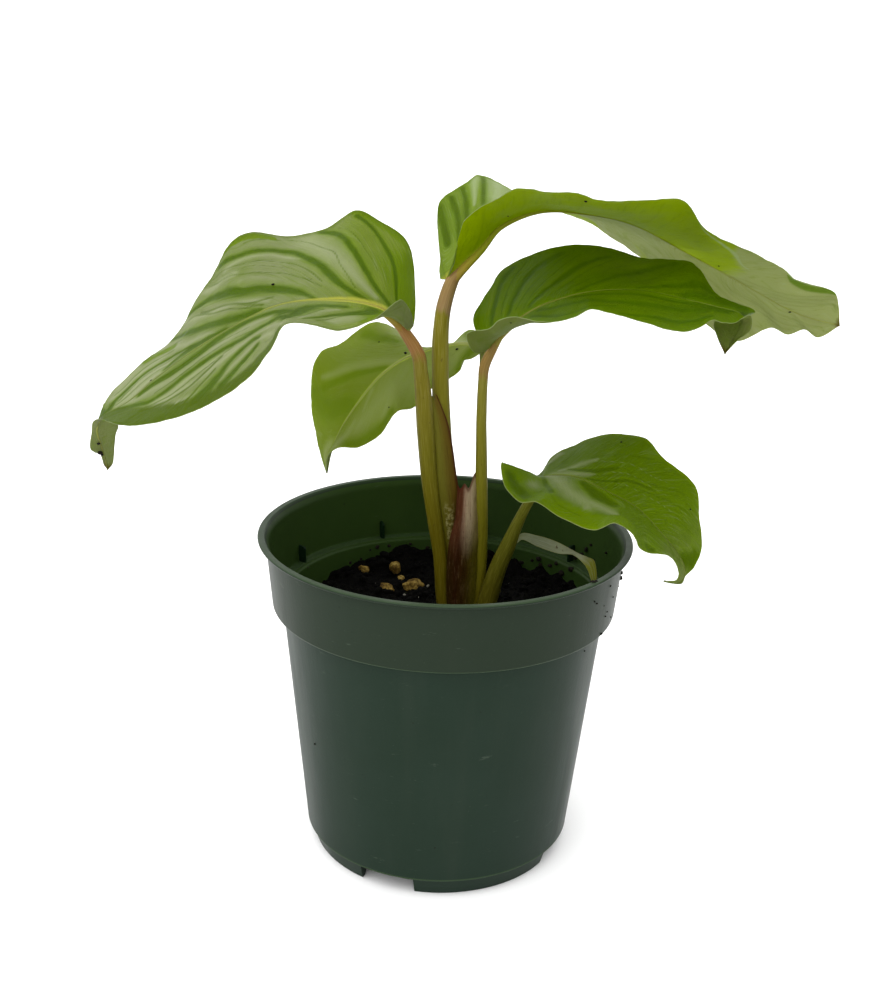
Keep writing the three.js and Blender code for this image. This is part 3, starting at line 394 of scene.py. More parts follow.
class Blade:
    """The middle surface of one leaf's blade."""

    def __init__(self, table):
        self.rib = curve_along(table["midrib"])
        self.half = {"left": Half(table["left"], 1), "right": Half(table["right"], -1)}

    def vein(self, side, share, place, s):
        """A point on the vein from a share of the midrib to a place on the margin, s of the way out."""
        half = self.half[side]
        start = self.rib(share)
        along = unit(self.rib(np.minimum(share + 0.004, 1)) - self.rib(np.maximum(share - 0.004, 0)))
        chord = half.edge(place) - start
        normal = unit(np.cross(along, chord) * half.side)
        bend = 2 * s * (1 - s) * half.curl(place) * np.linalg.norm(chord, axis=-1)
        return start + chord * s[..., None] + normal * bend[..., None]

    def point(self, side, g, s):
        """The point at a share along the blade, and s of the way from the midrib to the margin."""
        g, s = np.broadcast_arrays(np.asarray(g, float), np.asarray(s, float))
        half = self.half[side]
        return self.vein(side, np.clip(g, 0, 1), np.where(g < 0.001, half.lobe_end, half.place_of(g)), s)

    def rows(self):
        """Shares of the midrib and places on both margins, one row per vein, from the lobes to the tip."""
        lobe = np.arange(LOBE_ROWS) / LOBE_ROWS
        x = np.linspace(0, 1, BLADE_ROWS + 1)
        share = sum(half.foot(half.lobe_end + (1 - half.lobe_end) * x) for half in self.half.values()) / 2
        share = np.maximum.accumulate(share)
        share[0], share[-1] = 0, 1
        place = {}
        for side, half in self.half.items():
            blade = half.place_of(share)
            blade[0], blade[-1] = half.lobe_end, 1
            place[side] = np.concatenate([half.lobe_end * lobe, blade])
        g = np.concatenate([lobe - 1, share])
        return g, np.clip(g, 0, 1), place


def stroke_gap(points, blade, side, stroke):
    """How far each point is from one stroke, and half the stroke's width at the nearest place on it."""
    widths, path = np.atleast_1d(stroke[0]), np.reshape(stroke[1:], (-1, 2)) / 100
    line = curve_along(path, 2)(np.linspace(0, 1, STROKE_STEPS))
    centre = blade.point(side, line[:, 0], np.clip(line[:, 1], 0, 1))
    square = (points**2).sum(axis=1)[:, None] + (centre**2).sum(axis=1)[None] - 2 * points @ centre.T
    nearest = square.argmin(axis=1)
    distance = np.sqrt(np.maximum(square[np.arange(len(points)), nearest], 0))
    return distance, np.interp(nearest / (STROKE_STEPS - 1), np.linspace(0, 1, len(widths)), widths) / 2


def nearest_ratio(gaps, size):
    """Distance to the nearest stroke over half its width."""
    return np.min([distance / half for distance, half in gaps], axis=0) if gaps else np.full(size, FAR)


def vein_phase(gaps):
    """A number that runs from each bar to the next, so that lines of equal value follow the bars."""
    weights = np.array([(distance + 0.5) ** -2 for distance, half in gaps])
    return (weights * np.arange(len(gaps))[:, None]).sum(axis=0) / weights.sum(axis=0)


# Meshes

def place_object(name, data):
    thing = bpy.data.objects.new(name, data)
    bpy.context.scene.collection.objects.link(thing)
    return thing


def new_mesh(name, points, faces):
    """A mesh from points in millimetres."""
    mesh = bpy.data.meshes.new(name)
    mesh.from_pydata((np.asarray(points) * MM).tolist(), [], faces)
    return mesh


def make_piece(name, points, faces, materials, node, facts=None, slots=None, sharp=50):
    """An object with its materials, the facts that they read at each point, and its place in the frame."""
    mesh = new_mesh(name, points, faces)
    for material in materials:
        mesh.materials.append(material)
    if slots is not None:
        mesh.polygons.foreach_set("material_index", np.asarray(slots, np.int32))
    mesh.polygons.foreach_set("use_smooth", np.ones(len(mesh.polygons), bool))
    for key, values in (facts or {}).items():
        values = np.asarray(values, np.float32)
        kind, field = ("FLOAT", "value") if values.ndim == 1 else ("FLOAT_VECTOR", "vector")
        mesh.attributes.new(key, kind, "POINT").data.foreach_set(field, values.ravel())
    mesh.update()
    mesh.set_sharp_from_angle(angle=math.radians(sharp))
    piece = place_object(name, mesh)
    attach(piece, "root")
    if node:
        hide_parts(node)


def smooth_noise(points, size, seed):
    return np.array([noise.noise(Vector(p) / size + Vector((seed, seed * 0.7, seed * 1.3))) for p in points])


def grid_quads(grid):
    """The quads between the rows and columns of a grid of point numbers."""
    return np.stack([grid[:-1, :-1], grid[1:, :-1], grid[1:, 1:], grid[:-1, 1:]], axis=-1).reshape(-1, 4)


def ring_quads(rings, sides, start=0):
    """The quads between rings of points that follow one another from a start number on."""
    grid = start + np.arange(rings * sides).reshape(rings, sides)
    return grid_quads(np.column_stack([grid, grid[:, 0]])).tolist()


def face_normals(points, quads):
    """Normals at the points of a mesh of quads."""
    corner = points[quads]
    cross = np.cross(corner[:, 2] - corner[:, 0], corner[:, 3] - corner[:, 1])
    normals = np.zeros_like(points)
    for k in range(4):
        np.add.at(normals, quads[:, k], cross)
    return unit(normals)


def shell(points, normals, quads, loop, rise, half):
    """A sheet with thickness: points, faces, and 0 for each upper or rim face, 1 for each lower one."""
    under = len(points)
    after = np.roll(loop, -1)
    rim = np.stack([loop + under, after + under, after, loop], axis=1)
    faces, slots = [], []
    for group, slot in ((quads, 0), (rim, 0), (quads[:, ::-1] + under, 1)):
        for face in group.tolist():
            corners = list(dict.fromkeys(face))
            if len(corners) > 2:
                faces.append(corners)
                slots.append(slot)
    sides = [points + normals * (rise + way * half)[:, None] for way in (1, -1)]
    return np.concatenate(sides), faces, slots


def tube_frame(line, up):
    """Unit vectors sideways and to the front, one pair per point of a line."""
    along = unit(np.gradient(line, axis=0))
    side = unit(np.cross(along, up))
    return side, np.cross(side, along)


def tube(line, side, front, radii, sides, grain_round, grain_along):
    """Points and faces of a tube with one ring per point of a line, and the facts for its material."""
    angle = 2 * np.pi * np.arange(sides) / sides
    ring = side[:, None] * np.cos(angle)[:, None] + front[:, None] * np.sin(angle)[:, None]
    points = (line[:, None] + ring * radii[..., None]).reshape(-1, 3)
    rings = len(line)
    along = np.linspace(0, 1, rings).repeat(sides)
    round_x, round_y = (np.tile(wave(angle), rings) * grain_round for wave in (np.cos, np.sin))
    grain = np.stack([round_x, round_y, along * grain_along], axis=1)
    caps = [list(range(sides)), list(range(rings * sides - 1, (rings - 1) * sides - 1, -1))]
    return points, ring_quads(rings, sides) + caps, {"along": along, "grain": grain}


# Materials

def colour(red, green, blue):
    """A colour given as it looks on a screen, 0 to 255, as a linear one."""
    def linear(v):
        v = v / 255
        return v / 12.92 if v <= 0.04045 else ((v + 0.055) / 1.055) ** 2.4
    return (linear(red), linear(green), linear(blue), 1)


class Shading:
    """A material or world under construction, with the shade that has been mixed so far."""

    def __init__(self, name, shade=None, kind=bpy.data.materials):
        self.owner = kind.new(name)
        self.owner.use_nodes = True
        self.tree = self.owner.node_tree
        self.tree.nodes.clear()
        self.shade = shade

    def node(self, kind, inputs, output=0, **settings):
        node = self.tree.nodes.new("ShaderNode" + kind)
        for key, value in settings.items():
            setattr(node, key, value)
        for key, value in inputs.items():
            socket = node.inputs[key]
            if isinstance(value, bpy.types.NodeSocket):
                self.tree.links.new(value, socket)
            elif value is not None:
                socket.default_value = colour(*value) if socket.type == "RGBA" else value
        return node.outputs[output]

    def fact(self, name):
        return self.node("Attribute", {}, "Fac", attribute_name=name)

    def grain(self):
        return self.node("Attribute", {}, "Vector", attribute_name="grain")

    def place(self):
        return self.node("TexCoord", {}, "Object")

    def noise(self, vector, scale, detail=3, roughness=0.55):
        values = {"Vector": vector, "Scale": scale, "Detail": detail, "Roughness": roughness}
        return self.node("TexNoise", values)

    def add(self, a, b):
        return self.node("Math", {0: a, 1: b}, operation="ADD")

    def times(self, a, b, c=0.0):
        """a times b, plus c."""
        return self.node("Math", {0: a, 1: b, 2: c}, operation="MULTIPLY_ADD")

    def ramp(self, value, low, high, start=0.0, end=1.0):
        """A smooth step from start to end while the value goes from low to high."""
        return self.node("MapRange", {"Value": value, "From Min": low, "From Max": high, "To Min": start,
                                      "To Max": end}, interpolation_type="SMOOTHSTEP")

    def mix(self, factor, a, b):
        return self.node("Mix", {0: factor, 6: a, 7: b}, 2, data_type="RGBA")

    def tint(self, value, none, full, share, tone):
        """Mixes a share of a tone into the shade where the value is at full, and nothing of it at none."""
        self.shade = self.mix(self.ramp(value, none, full, 0, share), self.shade, tone)

    def stops(self, value, stops):
        """A colour that runs through the given ones, [(place, colour), ...]."""
        shade = self.node("ValToRGB", {0: value})
        elements = shade.node.color_ramp.elements
        while len(elements) < len(stops):
            elements.new(0.5)
        for element, (place, tone) in zip(elements, stops):
            element.position = place
            element.color = colour(*tone)
        return shade

    def bump(self, height, distance, strength):
        return self.node("Bump", {"Height": height, "Distance": distance, "Strength": strength})

    def end(self, kind, surface):
        out = self.tree.nodes.new("ShaderNodeOutput" + kind)
        self.tree.links.new(surface, out.inputs["Surface"])
        return self.owner

    def surface(self, roughness, normal, specular, through=None, share=0.0):
        """The finished material; a share of the light can come through it in a shade of its own."""
        values = {"Base Color": self.shade, "Roughness": roughness, "Normal": normal,
                  "Specular IOR Level": specular}
        face = self.node("BsdfPrincipled", values)
        if through is not None:
            behind = self.node("BsdfTranslucent", {"Color": through, "Normal": normal})
            face = self.node("MixShader", {0: share, 1: face, 2: behind})
        return self.end("Material", face)


def leaf_upper(name, look):
    """Upper side: silver or pale ground between green bars, fine veins along them, midrib, light rim; the
    pale strokes are partly silver bands and partly painted sheen and highlights.
    """
    s = Shading(name, look["base"])
    place, grain, along, across = s.place(), s.grain(), s.fact("along"), s.fact("across")
    streak = s.noise(grain, 6.0, 4, 0.62)
    broad = s.noise(grain, 1.7, 2)
    patch = s.noise(place, 55.0)
    ribbon = s.times(streak, 1.3, -0.65)
    wobble = s.times(broad, 0.5, s.add(ribbon, -0.25))
    s.tint(s.times(broad, 0.14, s.add(along, -0.07)), *look["turn"], 1, look["far"])
    s.tint(patch, 0.4, 0.7, 0.5, look["varied"])
    s.tint(streak, 0.48, 0.34, 0.5, look["varied"])
    s.tint(streak, 0.53, 0.68, 0.22, look["pale"])
    # pale strokes: partly the silver bands, partly painted sheen and highlights
    s.tint(s.add(s.fact("pale"), wobble), 1.7, -0.4, 0.75, look["pale"])
    s.tint(s.add(s.fact("zone"), wobble), 1.3, 0.65, 0.95, look["zone"])
    dark = s.add(s.fact("dark"), wobble)
    s.tint(dark, 2.4, 0.9, 0.5, look["zone"])
    s.tint(dark, 1.4, 0.4, 0.95, look["dark"])
    s.tint(s.add(s.fact("line"), ribbon), 1.5, 0.3, 0.75, look["dark"])
    s.tint(across, 0.93, 0.985, 0.5, look["margin"])
    s.tint(s.add(s.fact("turned"), wobble), 1.3, 0.65, 0.95, look["margin"])
    s.tint(s.times(wobble, 0.4, s.fact("from_rib")), 1.4, 0.5, 0.9, look["rib"])
    s.tint(across, 0.99, 0.999, 0.75, UPPER_RIM)
    s.tint(along, 0.98, 0.994, 0.8, DRY_TIP)
    s.tint(s.noise(place, 900.0, 2), 0.64, 0.76, 0.25, look["dark"])
    fine = s.add(s.noise(grain, 9.0, 2), s.noise(place, 1400.0, 2))
    normal = s.bump(s.times(streak, 2.5, fine), 0.00026, 0.7)
    through = s.mix(0.55, s.shade, LIGHT_THROUGH)
    return s.surface(s.ramp(patch, 0.3, 0.7, 0.34, 0.46), normal, 0.03, through, 0.3)


def leaf_under(name, look):
    """Underside: pale and matt, with painted light: lit yellow-green where light comes through it."""
    s = Shading(name, look["under"])
    place, grain = s.place(), s.grain()
    streak = s.noise(grain, 7.0, 4, 0.62)
    wobble = s.times(streak, 0.9, -0.45)
    s.tint(streak, 0.53, 0.7, 0.25, look["pale"])
    # painted light: outside the pale_under strokes the underside is painted lit yellow-green, for light
    # through the leaf
    s.tint(s.times(wobble, 0.4, s.fact("pale_under")), 0.8, 1.15, 1, look["painted_through_light"])
    s.tint(streak, 0.5, 0.34, 0.35, look["zone"])
    s.tint(s.add(s.fact("dark"), wobble), 1.4, 0.5, 0.16, look["dark"])
    s.tint(s.fact("line"), 1.8, 0.3, 0.14, look["dark"])
    s.tint(s.fact("turned"), 1.3, 0.5, 0.9, look["zone"])
    # pale strokes on the underside; the fold line of the top right leaf is a painted highlight
    s.tint(s.fact("pale"), 1.5, 0.3, 0.6, look["pale"])
    s.tint(s.fact("from_rib"), 1.6, 0.5, 0.5, look["rib"])
    s.tint(s.fact("across"), 0.985, 0.998, 0.8, UNDER_RIM)
    s.tint(s.fact("along"), 0.98, 0.994, 0.8, DRY_TIP)
    fine = s.add(s.noise(grain, 9.0, 2), s.noise(place, 1600.0, 2))
    normal = s.bump(s.times(streak, 2.5, fine), 0.00024, 0.7)
    through = s.mix(0.6, s.shade, LIGHT_THROUGH)
    return s.surface(s.ramp(s.noise(place, 45.0), 0.3, 0.7, 0.5, 0.62), normal, 0.03, through, 0.42)


def stem_material(name, stops):
    """A stem: fine lengthwise fibres over colours that change on the way up."""
    s = Shading(name)
    grain = s.grain()
    fibre = s.noise(grain, 5.0, 4, 0.65)
    along = s.times(s.noise(grain, 1.2, 2), 0.05, s.add(s.fact("along"), -0.025))
    s.shade = s.stops(along, stops)
    light = s.stops(along, [(0, (128, 118, 40)), (0.6, (150, 142, 60)), (1, (168, 150, 96))])
    s.tint(fibre, 0.45, 0.72, 0.34, light)
    s.tint(fibre, 0.44, 0.26, 0.4, (70, 58, 12))
    s.tint(s.noise(s.place(), 420.0, 2), 0.7, 0.78, 0.5, (58, 42, 20))
    return s.surface(s.ramp(fibre, 0.3, 0.7, 0.36, 0.52), s.bump(fibre, 0.0003, 0.6), 0.08, s.shade, 0.12)


def old_sheath_material():
    """The olive-brown sheath: smooth and translucent, with a brown rim and a patch of whitish scurf."""
    s = Shading("sheath_olive")
    grain, along, across = s.grain(), s.fact("along"), s.fact("across")
    fibre = s.noise(grain, 7.0, 4, 0.6)
    side = s.add(across, s.times(s.noise(grain, 1.4, 2), 0.3, -0.15))
    s.shade = s.stops(side, [(0, (74, 68, 4)), (0.45, (69, 59, 4)), (0.8, (58, 42, 4)), (1, (46, 26, 4))])
    high = s.stops(side, [(0, (115, 112, 34)), (0.4, (103, 99, 29)), (0.8, (95, 77, 22)), (1, (87, 58, 19))])
    s.tint(along, 0.1, 0.75, 1, high)
    s.tint(fibre, 0.5, 0.75, 0.3, (113, 106, 28))
    s.tint(fibre, 0.45, 0.28, 0.35, (50, 37, 4))
    scurf = s.ramp(s.noise(s.place(), 600.0, 4, 0.7), 0.42, 0.62, 0, 0.8)
    for fact, none, full in ((along, 0.3, 0.36), (along, 0.54, 0.46), (across, 0.25, 0.4),
                             (across, 0.85, 0.7)):
        scurf = s.times(scurf, s.ramp(fact, none, full))
    s.shade = s.mix(scurf, s.shade, (156, 148, 94))
    s.tint(across, 0.88, 0.98, 0.85, (61, 27, 9))
    normal = s.bump(s.add(fibre, scurf), 0.0003, 0.7)
    return s.surface(s.ramp(fibre, 0.3, 0.7, 0.38, 0.52), normal, 0.06, s.shade, 0.25)


def papery_material():
    """The torn dry sheath: red-brown on one side, partly painted shade where it rolls away; papery pinkish
    white on the other, olive lower down.
    """
    s = Shading("sheath_papery")
    place, grain, up = s.place(), s.grain(), s.fact("along")
    fibre = s.noise(grain, 7.0, 4, 0.65)
    drift = s.times(s.noise(grain, 1.6), 0.5, -0.25)
    side = s.add(s.fact("across"), drift)
    # the dark red-brown side: partly the sheath's own colour, partly painted shade where the rolled sheath
    # turns away
    s.shade = s.stops(side, [(0, (46, 31, 4)), (0.35, (49, 24, 4)), (0.65, (64, 48, 10)), (1, (92, 86, 16))])
    high = s.stops(side, [(0, (78, 42, 21)), (0.3, (86, 49, 29)), (0.5, (143, 116, 92)),
                          (0.72, (172, 155, 122)), (1, (122, 108, 60))])
    s.tint(s.times(drift, 0.5, up), 0.4, 0.74, 1, high)
    s.tint(fibre, 0.5, 0.74, 0.2, (157, 131, 94))
    s.tint(fibre, 0.46, 0.28, 0.5, (56, 23, 11))
    s.tint(up, 0.95, 0.99, 0.75, (81, 39, 23))
    s.tint(s.noise(place, 700.0), 0.66, 0.74, 0.5, (45, 22, 9))
    normal = s.bump(s.add(fibre, s.noise(place, 500.0)), 0.0005, 0.8)
    return s.surface(s.ramp(fibre, 0.3, 0.7, 0.5, 0.7), normal, 0.05, s.shade, 0.3)


def withered_material():
    """The withered leaf: pale grey-green and thin, yellow-green where it hangs down."""
    s = Shading("withered_leaf")
    place, grain = s.place(), s.grain()
    fibre = s.noise(grain, 6.0, 4, 0.65)
    along = s.times(s.noise(grain, 1.5, 2), 0.1, s.add(s.fact("along"), -0.05))
    s.shade = s.stops(along, [(0, (119, 120, 44)), (0.3, (135, 142, 84)), (0.42, (150, 157, 127)),
                              (0.7, (171, 175, 142)), (0.78, (140, 142, 36)), (1, (106, 109, 15))])
    s.tint(fibre, 0.5, 0.72, 0.4, (199, 203, 179))
    s.tint(fibre, 0.45, 0.3, 0.3, (95, 104, 52))
    edge = s.node("Math", {0: s.times(s.fact("across"), 2.0, -1.0)}, operation="ABSOLUTE")
    s.tint(edge, 0.86, 0.97, 0.6, (155, 152, 86))
    s.tint(s.noise(place, 350.0), 0.66, 0.72, 0.7, (82, 64, 36))
    normal = s.bump(s.add(fibre, s.noise(place, 500.0)), 0.0004, 0.8)
    return s.surface(s.ramp(fibre, 0.3, 0.7, 0.36, 0.5), normal, 0.12, s.shade, 0.4)


def plastic_material():
    """Pot: green moulded plastic with faint smears, scuffs and dust; painted highlights on its moulded
    edges, painted shade on its inner ribs.
    """
    s = Shading("pot_plastic", (27, 41, 31))
    place = s.place()
    smear = s.noise(s.node("Mapping", {"Vector": place, "Scale": (1, 1, 0.12)}), 60.0, 4, 0.6)
    cloud = s.noise(place, 14.0)
    s.tint(cloud, 0.3, 0.7, 1, (30, 44, 35))
    s.tint(smear, 0.45, 0.75, 0.3, (39, 49, 40))
    s.tint(s.node("SeparateXYZ", {"Vector": place}, "Z"), 0.1152, 0.1162, 0.6, (35, 43, 31))
    s.tint(s.fact("inner"), 0.4, 0.6, 1, s.mix(s.ramp(cloud, 0.3, 0.7), (40, 59, 23), (46, 66, 27)))
    # painted highlight: lighter along the rim top, the step under the band, the foot ring and the inner
    # ledge
    s.tint(s.fact("edge"), 0.4, 1.0, 0.75, (52, 68, 46))
    # painted shade: the ribs inside the pot are drawn dark, as shadowed slits
    s.shade = s.mix(s.fact("painted_rib_shadow"), s.shade, (13, 32, 15))
    s.tint(s.noise(place, 1100.0, 2), 0.68, 0.78, 0.25, (62, 72, 60))
    s.tint(s.noise(place, 300.0), 0.7, 0.76, 0.5, (22, 26, 18))
    scuffed = s.node("Mapping", {"Vector": place, "Scale": (1, 1, 4), "Rotation": (0.3, 0.5, 0)})
    s.tint(s.noise(scuffed, 90.0, 5, 0.7), 0.64, 0.73, 0.3, (78, 88, 76))
    normal = s.bump(s.times(smear, 3.0, s.noise(place, 800.0, 2)), 0.00006, 0.5)
    return s.surface(s.ramp(smear, 0.3, 0.75, 0.34, 0.46), normal, 0.06)


def rough_material(name, scale, bump, stops, roughness=0.9, specular=0.15):
    """Soil, bark, grit: a coarse mottling through the given colours."""
    s = Shading(name)
    place = s.place()
    coarse = s.noise(place, scale, 5, 0.65)
    fine = s.noise(place, scale * 5)
    s.shade = s.stops(s.times(fine, 0.3, s.times(coarse, 0.7)), stops)
    normal = s.bump(s.add(coarse, fine), bump, 0.9)
    return s.surface(s.ramp(fine, 0.3, 0.7, roughness - 0.1, roughness + 0.05), normal, specular)


# Stalks: centre line and radius from the soil to the blade, and colours along them

STALKS = {
    "left": [
        (3.5, 0, 98, 3.2), (0.3, 0, 112, 3.15), (-2.1, 0, 136, 3.1), (-5.1, 0, 154, 3.3), (-8, 0, 174, 3.6),
        (-10, 0, 194, 3.8), (-11.3, 0, 209, 3.6), (-12.6, 0, 219, 3.1), (-14, 0, 227, 2.9)],
    "top_right": [
        (7.5, 8, 98, 3.9), (6.2, 8, 112, 3.9), (2.9, 8, 145, 3.8), (-0.7, 7.5, 174, 3.75),
        (-3.1, 7, 197, 3.8),
        (-4.2, 7, 214, 3.7), (-4.7, 7, 229, 3.6), (-4.5, 6, 238, 3.35), (-3.6, 5, 247, 3.2)],
    "middle_right": [
        (14, 3.5, 98, 2.9), (14.3, 4, 112, 2.95), (15.8, 4, 126, 2.9), (15.9, 3, 143, 2.9),
        (15.2, 1, 165, 2.75),
        (14.2, -1, 190, 2.4), (13.8, -2, 201, 2.25), (13.8, -3, 217, 2.1), (14.3, -4, 224, 2.2)],
    "back_left": [
        (17.5, 12, 98, 2.3), (17.3, 12, 110, 2.3), (16.2, 14, 139, 2.25), (15, 19, 185, 2),
        (14.5, 22, 210, 1.9)],
    "lower_right": [
        (17.5, -4, 98, 4.4), (18.6, -3.2, 110, 4.5), (19.7, -3, 116, 4.4), (23.3, -5, 132, 3.85),
        (27.3, -7, 144, 3.4), (30.8, -9, 155, 2.6), (34.9, -12, 166, 2.05)],
}
ROOTSTOCK = [(-3, -1, 88, 3), (3, 1, 89, 6.5), (11, 4, 89.5, 7.8), (19, 6, 89, 7), (25, 8, 88, 3.5)]
STALK_COLOURS = {
    "left": [(0, (74, 64, 4)), (0.25, (88, 78, 6)), (0.6, (100, 95, 13)), (0.86, (109, 101, 23)),
             (0.9, (136, 96, 52)), (1, (142, 102, 52))],
    "top_right": [(0, (74, 60, 8)), (0.3, (90, 74, 12)), (0.6, (106, 102, 16)), (0.875, (112, 106, 22)),
                  (0.89, (134, 110, 72)), (1, (134, 106, 60))],
    "middle_right": [(0, (88, 78, 6)), (0.3, (104, 100, 16)), (0.65, (112, 108, 26)), (0.86, (114, 110, 34)),
                     (0.89, (124, 98, 48)), (0.96, (126, 100, 50)), (1, (126, 112, 40))],
    "back_left": [(0, (86, 84, 20)), (0.6, (103, 107, 34)), (1, (120, 130, 60))],
    "lower_right": [(0, (64, 58, 6)), (0.3, (76, 72, 12)), (0.7, (92, 94, 22)), (1, (108, 112, 34))],
}
RIB_COLOURS = {
    "left": [(0, (140, 98, 48)), (0.05, (146, 132, 50)), (0.16, (142, 146, 60)), (0.34, (112, 126, 52)),
             (1, (94, 110, 48))],
    "top_right": [(0, (140, 112, 60)), (0.05, (150, 134, 46)), (0.1, (134, 140, 26)), (0.6, (108, 122, 24)),
                  (1, (128, 138, 78))],
    "middle_right": [(0, (126, 116, 50)), (0.2, (120, 124, 40)), (0.5, (92, 112, 20)), (1, (80, 104, 12))],
    "back_left": [(0, (160, 168, 98)), (0.5, (156, 166, 88)), (1, (124, 136, 60))],
    "lower_right": [(0, (100, 104, 22)), (0.12, (98, 112, 30)), (0.3, (80, 100, 10)), (1, (90, 104, 36))],
}


def build_blade(name):
    """One leaf's blade and midrib as a piece; its middle surface, and where the stalk runs on into it."""
    blade, look = Blade(LEAVES[name]), LEAF_COLOURS[name]
    g, share, place = blade.rows()
    middle = np.linspace(0.075, 0.95, COLUMNS[name] - len(INNER_COLUMNS) - len(OUTER_COLUMNS))
    across = np.concatenate([INNER_COLUMNS, middle, OUTER_COLUMNS])
    rows, columns = len(g), len(across)
    along, out = g.repeat(columns), np.tile(across, rows)
    centre = np.arange(rows) * columns
    centre[:LOBE_ROWS] = centre[LOBE_ROWS]
    grids, points, facts = [], [], []
    for side, half in blade.half.items():
        grid = np.arange(rows * columns).reshape(rows, columns) + len(grids) * rows * columns
        grid[:, 0] = centre
        grid[-1] = centre[-1]
        flat = blade.vein(side, share.repeat(columns), place[side].repeat(columns), out)
        gaps = {key: [stroke_gap(flat, blade, side, stroke) for stroke in MARKINGS_AND_PAINTED_LIGHT[name, side].get(key, [])]
                for key in FAMILIES}
        ratio = {key: nearest_ratio(value, len(flat)) for key, value in gaps.items()}
        # halves without pale_under strokes get none of the painted through-light on their underside
        if not gaps["pale_under"]:
            ratio["pale_under"][:] = 0
        reach = np.linalg.norm(half.edge(place[side]) - blade.rib(share), axis=-1)
        band = np.interp(share, *zip(*look["rib_band"]))
        if len(gaps["dark"]) > 3:
            phase = 2.2 * (vein_phase(gaps["dark"]) + 2 * np.minimum(along, 0))
        else:
            phase = 20 * (along - 0.2 * out)
        grain = np.stack([phase, 0.5 * out + 0.4 * along, np.full(len(flat), 3.0 * half.side)], axis=1)
        grids.append(grid)
        points.append(flat)
        from_rib = out * (reach / band).repeat(columns)
        facts.append({**ratio, "from_rib": from_rib, "across": out, "along": along, "grain": grain})
    left, right = grids
    points = np.concatenate(points)
    facts = {key: np.concatenate([f[key] for f in facts]) for key in facts[0]}
    quads = np.concatenate([grid_quads(left), grid_quads(right)[:, ::-1]])
    normals = face_normals(points, quads)

    edge = np.clip((facts["across"] - EDGE_START) / (1 - EDGE_START), 0, 1)
    away = np.clip(facts["from_rib"] / 3, 0, 1) * (1 - edge)
    fade = np.clip((1 - facts["along"]) / TIP_FADE, 0, 1)
    rise = -QUILT * (np.exp(-facts["dark"] ** 2) + 0.4 * np.exp(-facts["line"] ** 2)) * away
    rise += (0.5 * smooth_noise(points, 14, 3.1) + 0.16 * smooth_noise(points, 4, 7.7)) * away
    rise += RIPPLE * fade * (smooth_noise(points, 9, 1.3) * edge**1.5
                             + 0.35 * smooth_noise(points, 2.6, 5.3) * edge**2)
    rise -= 0.25 * np.exp(-facts["from_rib"] ** 2)
    half_thickness = (THICKNESS + (EDGE_THICKNESS - THICKNESS) * edge) / 2
    loop = np.concatenate([left[0], left[1:, -1], right[::-1, -1], right[0, ::-1]])
    skin, faces, slots = shell(points, normals, quads, loop, rise, half_thickness)

    steps = np.linspace(0, 1, RIB_ROWS)
    line = blade.rib(steps)
    tops = [(0, *normals[centre[LOBE_ROWS + 3]])]
    tops += [(share[i], *normals[centre[i]]) for i in range(LOBE_ROWS + 12, rows - 3, 9)]
    side_way, up = tube_frame(line, unit(curve_through(tops)(steps)))
    radius = RIB_END + (RIB_START[name] - RIB_END) * (1 - steps) ** 5
    middle = line + up * (RIB_RISE - radius)[:, None] * RIB_FLAT
    rib, rib_faces, rib_facts = tube(middle, side_way, up * RIB_FLAT, radius[:, None], RIB_SIDES, 1.2, 2)
    faces += [[len(skin) + k for k in face] for face in rib_faces]
    slots += [2] * len(rib_faces)
    for key, values in facts.items():
        rest = rib_facts.get(key, np.zeros((len(rib), *values.shape[1:])))
        facts[key] = np.concatenate([values, values, rest])

    kept = np.zeros(len(skin) + len(rib), bool)
    kept[[k for face in faces for k in face]] = True
    number = (np.cumsum(kept) - 1).tolist()
    make_piece(f"leaf_{name}", np.concatenate([skin, rib])[kept],
               [[number[k] for k in face] for face in faces],
               [leaf_upper(f"blade_{name}_upper", look), leaf_under(f"blade_{name}_under", look),
                stem_material(f"blade_{name}_midrib", RIB_COLOURS[name])],
               f"blade_{name}", {key: values[kept] for key, values in facts.items()}, slots)
    return blade, [(*middle[1], radius[1] + 0.08), (*middle[4], radius[4] * 0.9)]


def build_tube(name, path, rings, sides, material, node, ridges):
    steps = np.linspace(0, 1, rings)
    line = curve_along(path)(steps)
    angle = 2 * np.pi * np.arange(sides) / sides
    ribbing = 0.5 * np.sin(7 * angle + 0.8) + 0.3 * np.sin(11 * angle + 2) + 0.3 * np.sin(17 * angle)
    sway = np.array([[noise.noise(Vector((math.cos(a), math.sin(a), t * 9))) for a in angle] for t in steps])
    radii = line[:, 3:] * (1 + ridges * ribbing + 0.02 * sway)
    line = line[:, :3]
    points, faces, facts = tube(line, *tube_frame(line, (0, 1, 0)), radii, sides, 1.6, 2.4)
    make_piece(name, points, faces, [material], node, facts)


# Dry sheaths and the withered leaf, as strips between edges that run upward

